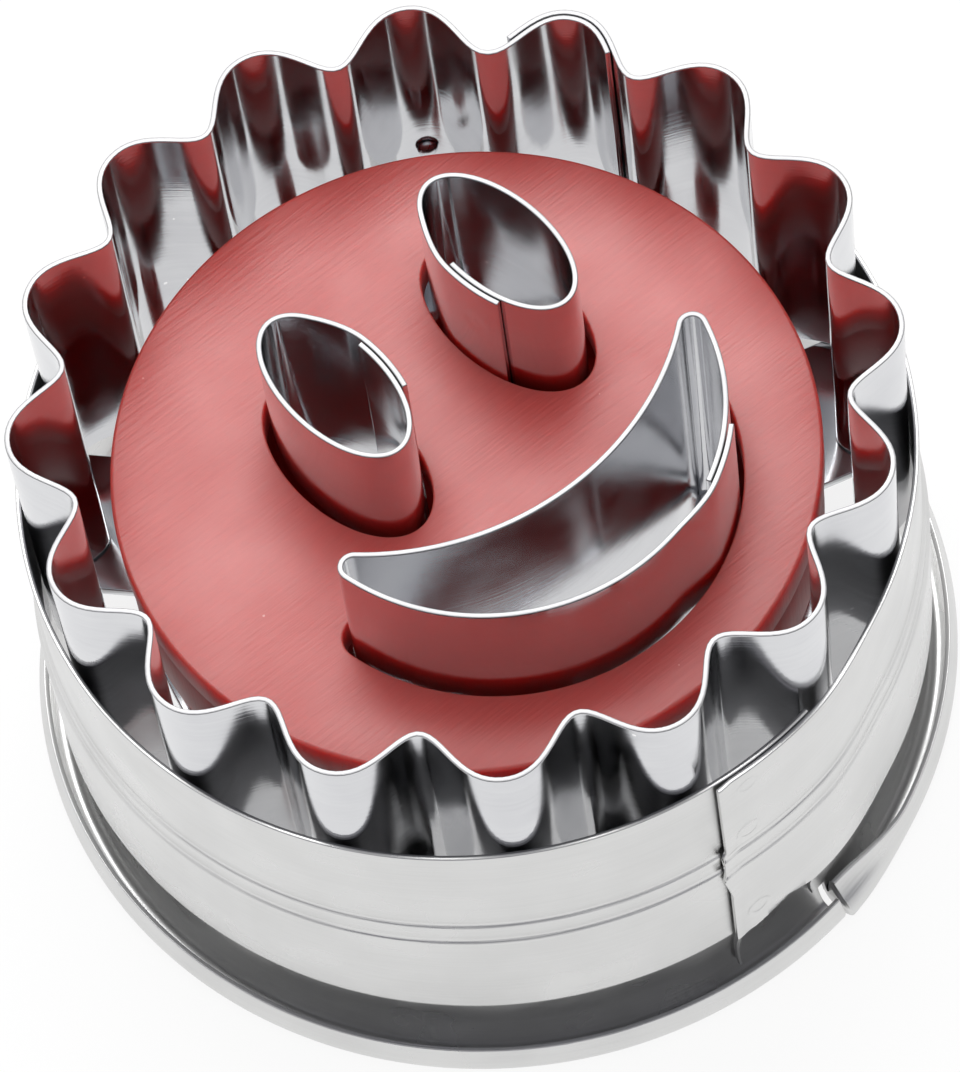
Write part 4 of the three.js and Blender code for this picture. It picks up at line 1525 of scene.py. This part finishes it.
    def _plate(self, materials: Materials) -> None:
        """Builds and dresses the thumb plate with its ridges and guide pin.

        Args:
            materials: Finishes that dress it.
        """
        stacks = [eased_stack(self._plate_edge, self.push_under, PUSH_TOP, -self.push_ease)]
        ease, seat = self.hole_ease, self.push_under + self.sink
        for angle in LEG_ANGLES:
            centre = polar(LEG_CIRCLE, angle)
            wide, narrow = ring_of(self.head_hole, centre, 32), ring_of(self.bore, centre, 32)
            levels = (
                (wide, self.push_under, ease),
                (wide, self.push_under + ease, 0.0),
                (wide, seat, 0.0),
                (narrow, seat, 0.0),
                (narrow, PUSH_TOP, 0.0),
            )
            stacks.append([[p + Vector((0.0, 0.0, z)) for p in ring(grow)] for ring, z, grow in levels])
        bm = stacked_plate(stacks)
        pin = [(0.0, self.pin_top), (self.pin_radius - self.pin_ease, self.pin_top)]
        pin += [(self.pin_radius, self.pin_top - self.pin_ease), (self.pin_radius, PUSH_TOP - self.embed)]
        add_turned(bm, [*pin, (0.0, PUSH_TOP - self.embed)], SPRING_AXIS)
        for radius in self.ridge_radii:
            turns = spread(0.0, 360.0, 10)
            ring = [
                (radius + self.ridge_width * math.cos(math.radians(t)),
                 self.push_under + self.ridge_width * math.sin(math.radians(t)))
                for t in turns
            ]
            add_turned(bm, ring, SPRING_AXIS, 72)
        settle(bm)
        materials.dress(bm, "thumb_plate", Slot.RED, Body.EJECTOR, ["push_plate"])

    def _screw(self, materials: Materials, number: int, centre: Vector) -> None:
        """Builds and dresses one domed screw with a cross recess.

        Args:
            materials: Finishes that dress it.
            number: Number of the screw.
            centre: Place of its axis.
        """
        seat = self.push_under + self.sink - SEAT_GAP
        face = seat - self.head_height

        def lifted(shape: Grown, height: float) -> Outline:
            """Outline at a height."""
            return [p + Vector((0.0, 0.0, height)) for p in shape(0.0)]

        levels = (
            *((radius, face + rise) for radius, rise in self.dome),
            (self.head_radius, face + self.head_side),
            (self.head_radius, seat),
            (self.screw_radius, seat),
            (self.screw_radius, self.screw_tip - self.screw_radius),
            (self.point_radius, self.screw_tip),
        )
        corners = []
        for angle in (0.0, 90.0, 180.0, 270.0):
            out, across = polar(1.0, angle), polar(1.0, angle + 90.0)
            corners += [self.cross_arm * out - self.cross_width * across]
            corners += [self.cross_arm * out + self.cross_width * across]
            corners += [self.cross_width * (out + across)]
        depths = (face, face + self.cross_depth)
        cross = [[centre + corner + Vector((0.0, 0.0, z)) for corner in corners] for z in depths]
        bm = bmesh.new()
        shell = add_tube(bm, [lifted(ring_of(radius, centre, 28), height) for radius, height in levels])
        recess = add_tube(bm, cross)
        for edges in (shell[0] + recess[0], recess[1], shell[-1]):
            add_cap(bm, edges)
        settle(bm)
        node = f"ejector_screw_{number}"
        materials.dress(bm, f"thumb_screw_{number}", Slot.STEEL, Body.EJECTOR, [node])

    def build(self, materials: Materials) -> None:
        """Builds and dresses the disc, its skirt, the thumb plate and the screws.

        Args:
            materials: Finishes that dress them.
        """
        self._disc(materials)
        self._skirt(materials)
        self._plate(materials)
        for number, angle in enumerate(LEG_ANGLES, 1):
            self._screw(materials, number, polar(LEG_CIRCLE, angle))


@dataclass
class Studio:
    """Pale floor, soft light and the camera of the photograph."""

    position: Vector = field(default_factory=lambda: Vector((-93.998, -149.352, 328.230)) * MM)
    right: Vector = field(default_factory=lambda: Vector((0.76147, -0.64351, -0.07786)))
    up: Vector = field(default_factory=lambda: Vector((0.59331, 0.64356, 0.48353)))
    lens: float = 218.22
    sensor: float = 36.0
    clip_start: float = 0.01
    floor_size: float = 2.0
    floor_drop: float = 0.02 * MM
    floor_color: Color = (0.9, 0.9, 0.9)
    floor_roughness: float = 0.9
    shine_through: float = 0.86
    backdrop: Triple = (0.45, 0.72, 0.53)
    dark_side: Color = (0.2, 0.2, 0.23)
    bright_side: Color = (0.8, 0.8, 0.8)
    falloff: Span = (-0.1, 0.7)
    fill: Color = (0.92, 0.92, 0.92)
    key_power: float = 1.7
    key_size: float = 0.4
    key_place: Triple = (0.16, 0.253, 0.52)

    @staticmethod
    def _seen(tree: bpy.types.NodeTree) -> bpy.types.NodeSocket:
        """Marks the rays that show the background: seen straight, in metal or through glass.

        Args:
            tree: Node tree that takes the nodes.

        Returns:
            Socket that is 1 on those rays.
        """
        path = add_node(tree, "ShaderNodeLightPath", {})
        seen = path.outputs["Is Camera Ray"]
        for name in ("Is Glossy Ray", "Is Transmission Ray"):
            seen = add_math(tree, "MAXIMUM", seen, path.outputs[name])
        return seen

    def _floor(self) -> None:
        """Lays the floor."""
        bm = bmesh.new()
        bmesh.ops.create_grid(bm, x_segments=1, y_segments=1, size=self.floor_size)
        bmesh.ops.translate(bm, verts=bm.verts, vec=(0.0, 0.0, -self.floor_drop))
        mesh = bpy.data.meshes.new("studio_floor")
        bm.to_mesh(mesh)
        bm.free()
        material = bpy.data.materials.new("pale_floor")
        material.use_nodes = True
        tree = material.node_tree
        shader = tree.nodes["Principled BSDF"]
        shader.inputs["Base Color"].default_value = (*self.floor_color, 1.0)
        shader.inputs["Roughness"].default_value = self.floor_roughness
        glow = add_node(tree, "ShaderNodeEmission", {"Color": (1.0, 1.0, 1.0, 1.0), "Strength": 1.0})
        share = add_math(tree, "MULTIPLY", self._seen(tree), self.shine_through)
        mixed = add_node(tree, "ShaderNodeMixShader", {0: share, 1: shader.outputs[0], 2: glow.outputs[0]})
        tree.links.new(mixed.outputs[0], tree.nodes["Material Output"].inputs["Surface"])
        mesh.materials.append(material)
        floor = bpy.data.objects.new("studio_floor", mesh)
        bpy.context.scene.collection.objects.link(floor)

    def _world(self) -> None:
        """Sets the surroundings: even fill light, and a backdrop that metal shows with its dark side."""
        world = bpy.data.worlds.new("studio_world")
        bpy.context.scene.world = world
        world.use_nodes = True
        tree = world.node_tree
        way = add_node(tree, "ShaderNodeTexCoord", {}).outputs["Generated"]
        facing = add_node(
            tree, "ShaderNodeVectorMath", {0: way, 1: self.backdrop}, operation="DOT_PRODUCT"
        ).outputs["Value"]
        share = add_range(tree, facing, self.falloff, (0.0, 1.0))
        shown = add_mix(tree, share, self.dark_side, self.bright_side)
        bounces = add_node(tree, "ShaderNodeLightPath", {}).outputs["Diffuse Depth"]
        direct = add_math(tree, "LESS_THAN", bounces, 0.5)
        tone = add_mix(tree, add_math(tree, "MULTIPLY", self._seen(tree), direct), self.fill, shown)
        tree.links.new(tone, tree.nodes["Background"].inputs["Color"])

    def _light(self) -> None:
        """Hangs the soft key light."""
        data = bpy.data.lights.new("key_light", "AREA")
        data.energy = self.key_power
        data.size = self.key_size
        key = bpy.data.objects.new("key_light", data)
        key.location = self.key_place
        key.rotation_euler = (-Vector(self.key_place)).to_track_quat("-Z", "Y").to_euler()
        bpy.context.scene.collection.objects.link(key)

    def _camera(self) -> None:
        """Sets the camera at the photograph's view."""
        data = bpy.data.cameras.new("photo_camera")
        data.sensor_width = self.sensor
        data.lens = self.lens
        data.clip_start = self.clip_start
        camera = bpy.data.objects.new("photo_camera", data)
        turn = Matrix((self.right, self.up, self.right.cross(self.up))).transposed()
        camera.matrix_world = Matrix.Translation(self.position) @ turn.to_4x4()
        bpy.context.scene.collection.objects.link(camera)
        bpy.context.scene.camera = camera

    def build(self) -> None:
        """Sets up the floor, the light and the camera."""
        bpy.context.scene.view_settings.view_transform = "Standard"
        self._floor()
        self._world()
        self._light()
        self._camera()


def main() -> None:
    """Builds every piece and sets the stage."""
    logging.basicConfig(level=logging.INFO, format="%(name)s %(message)s")
    materials = Materials()
    motif = MotifCutters()
    for assembly in (GripSleeve(), FlutedRing(), motif, BridgeFrame(motif), Ejector(motif)):
        assembly.build(materials)
    Studio().build()


if __name__ == "__main__":
    main()
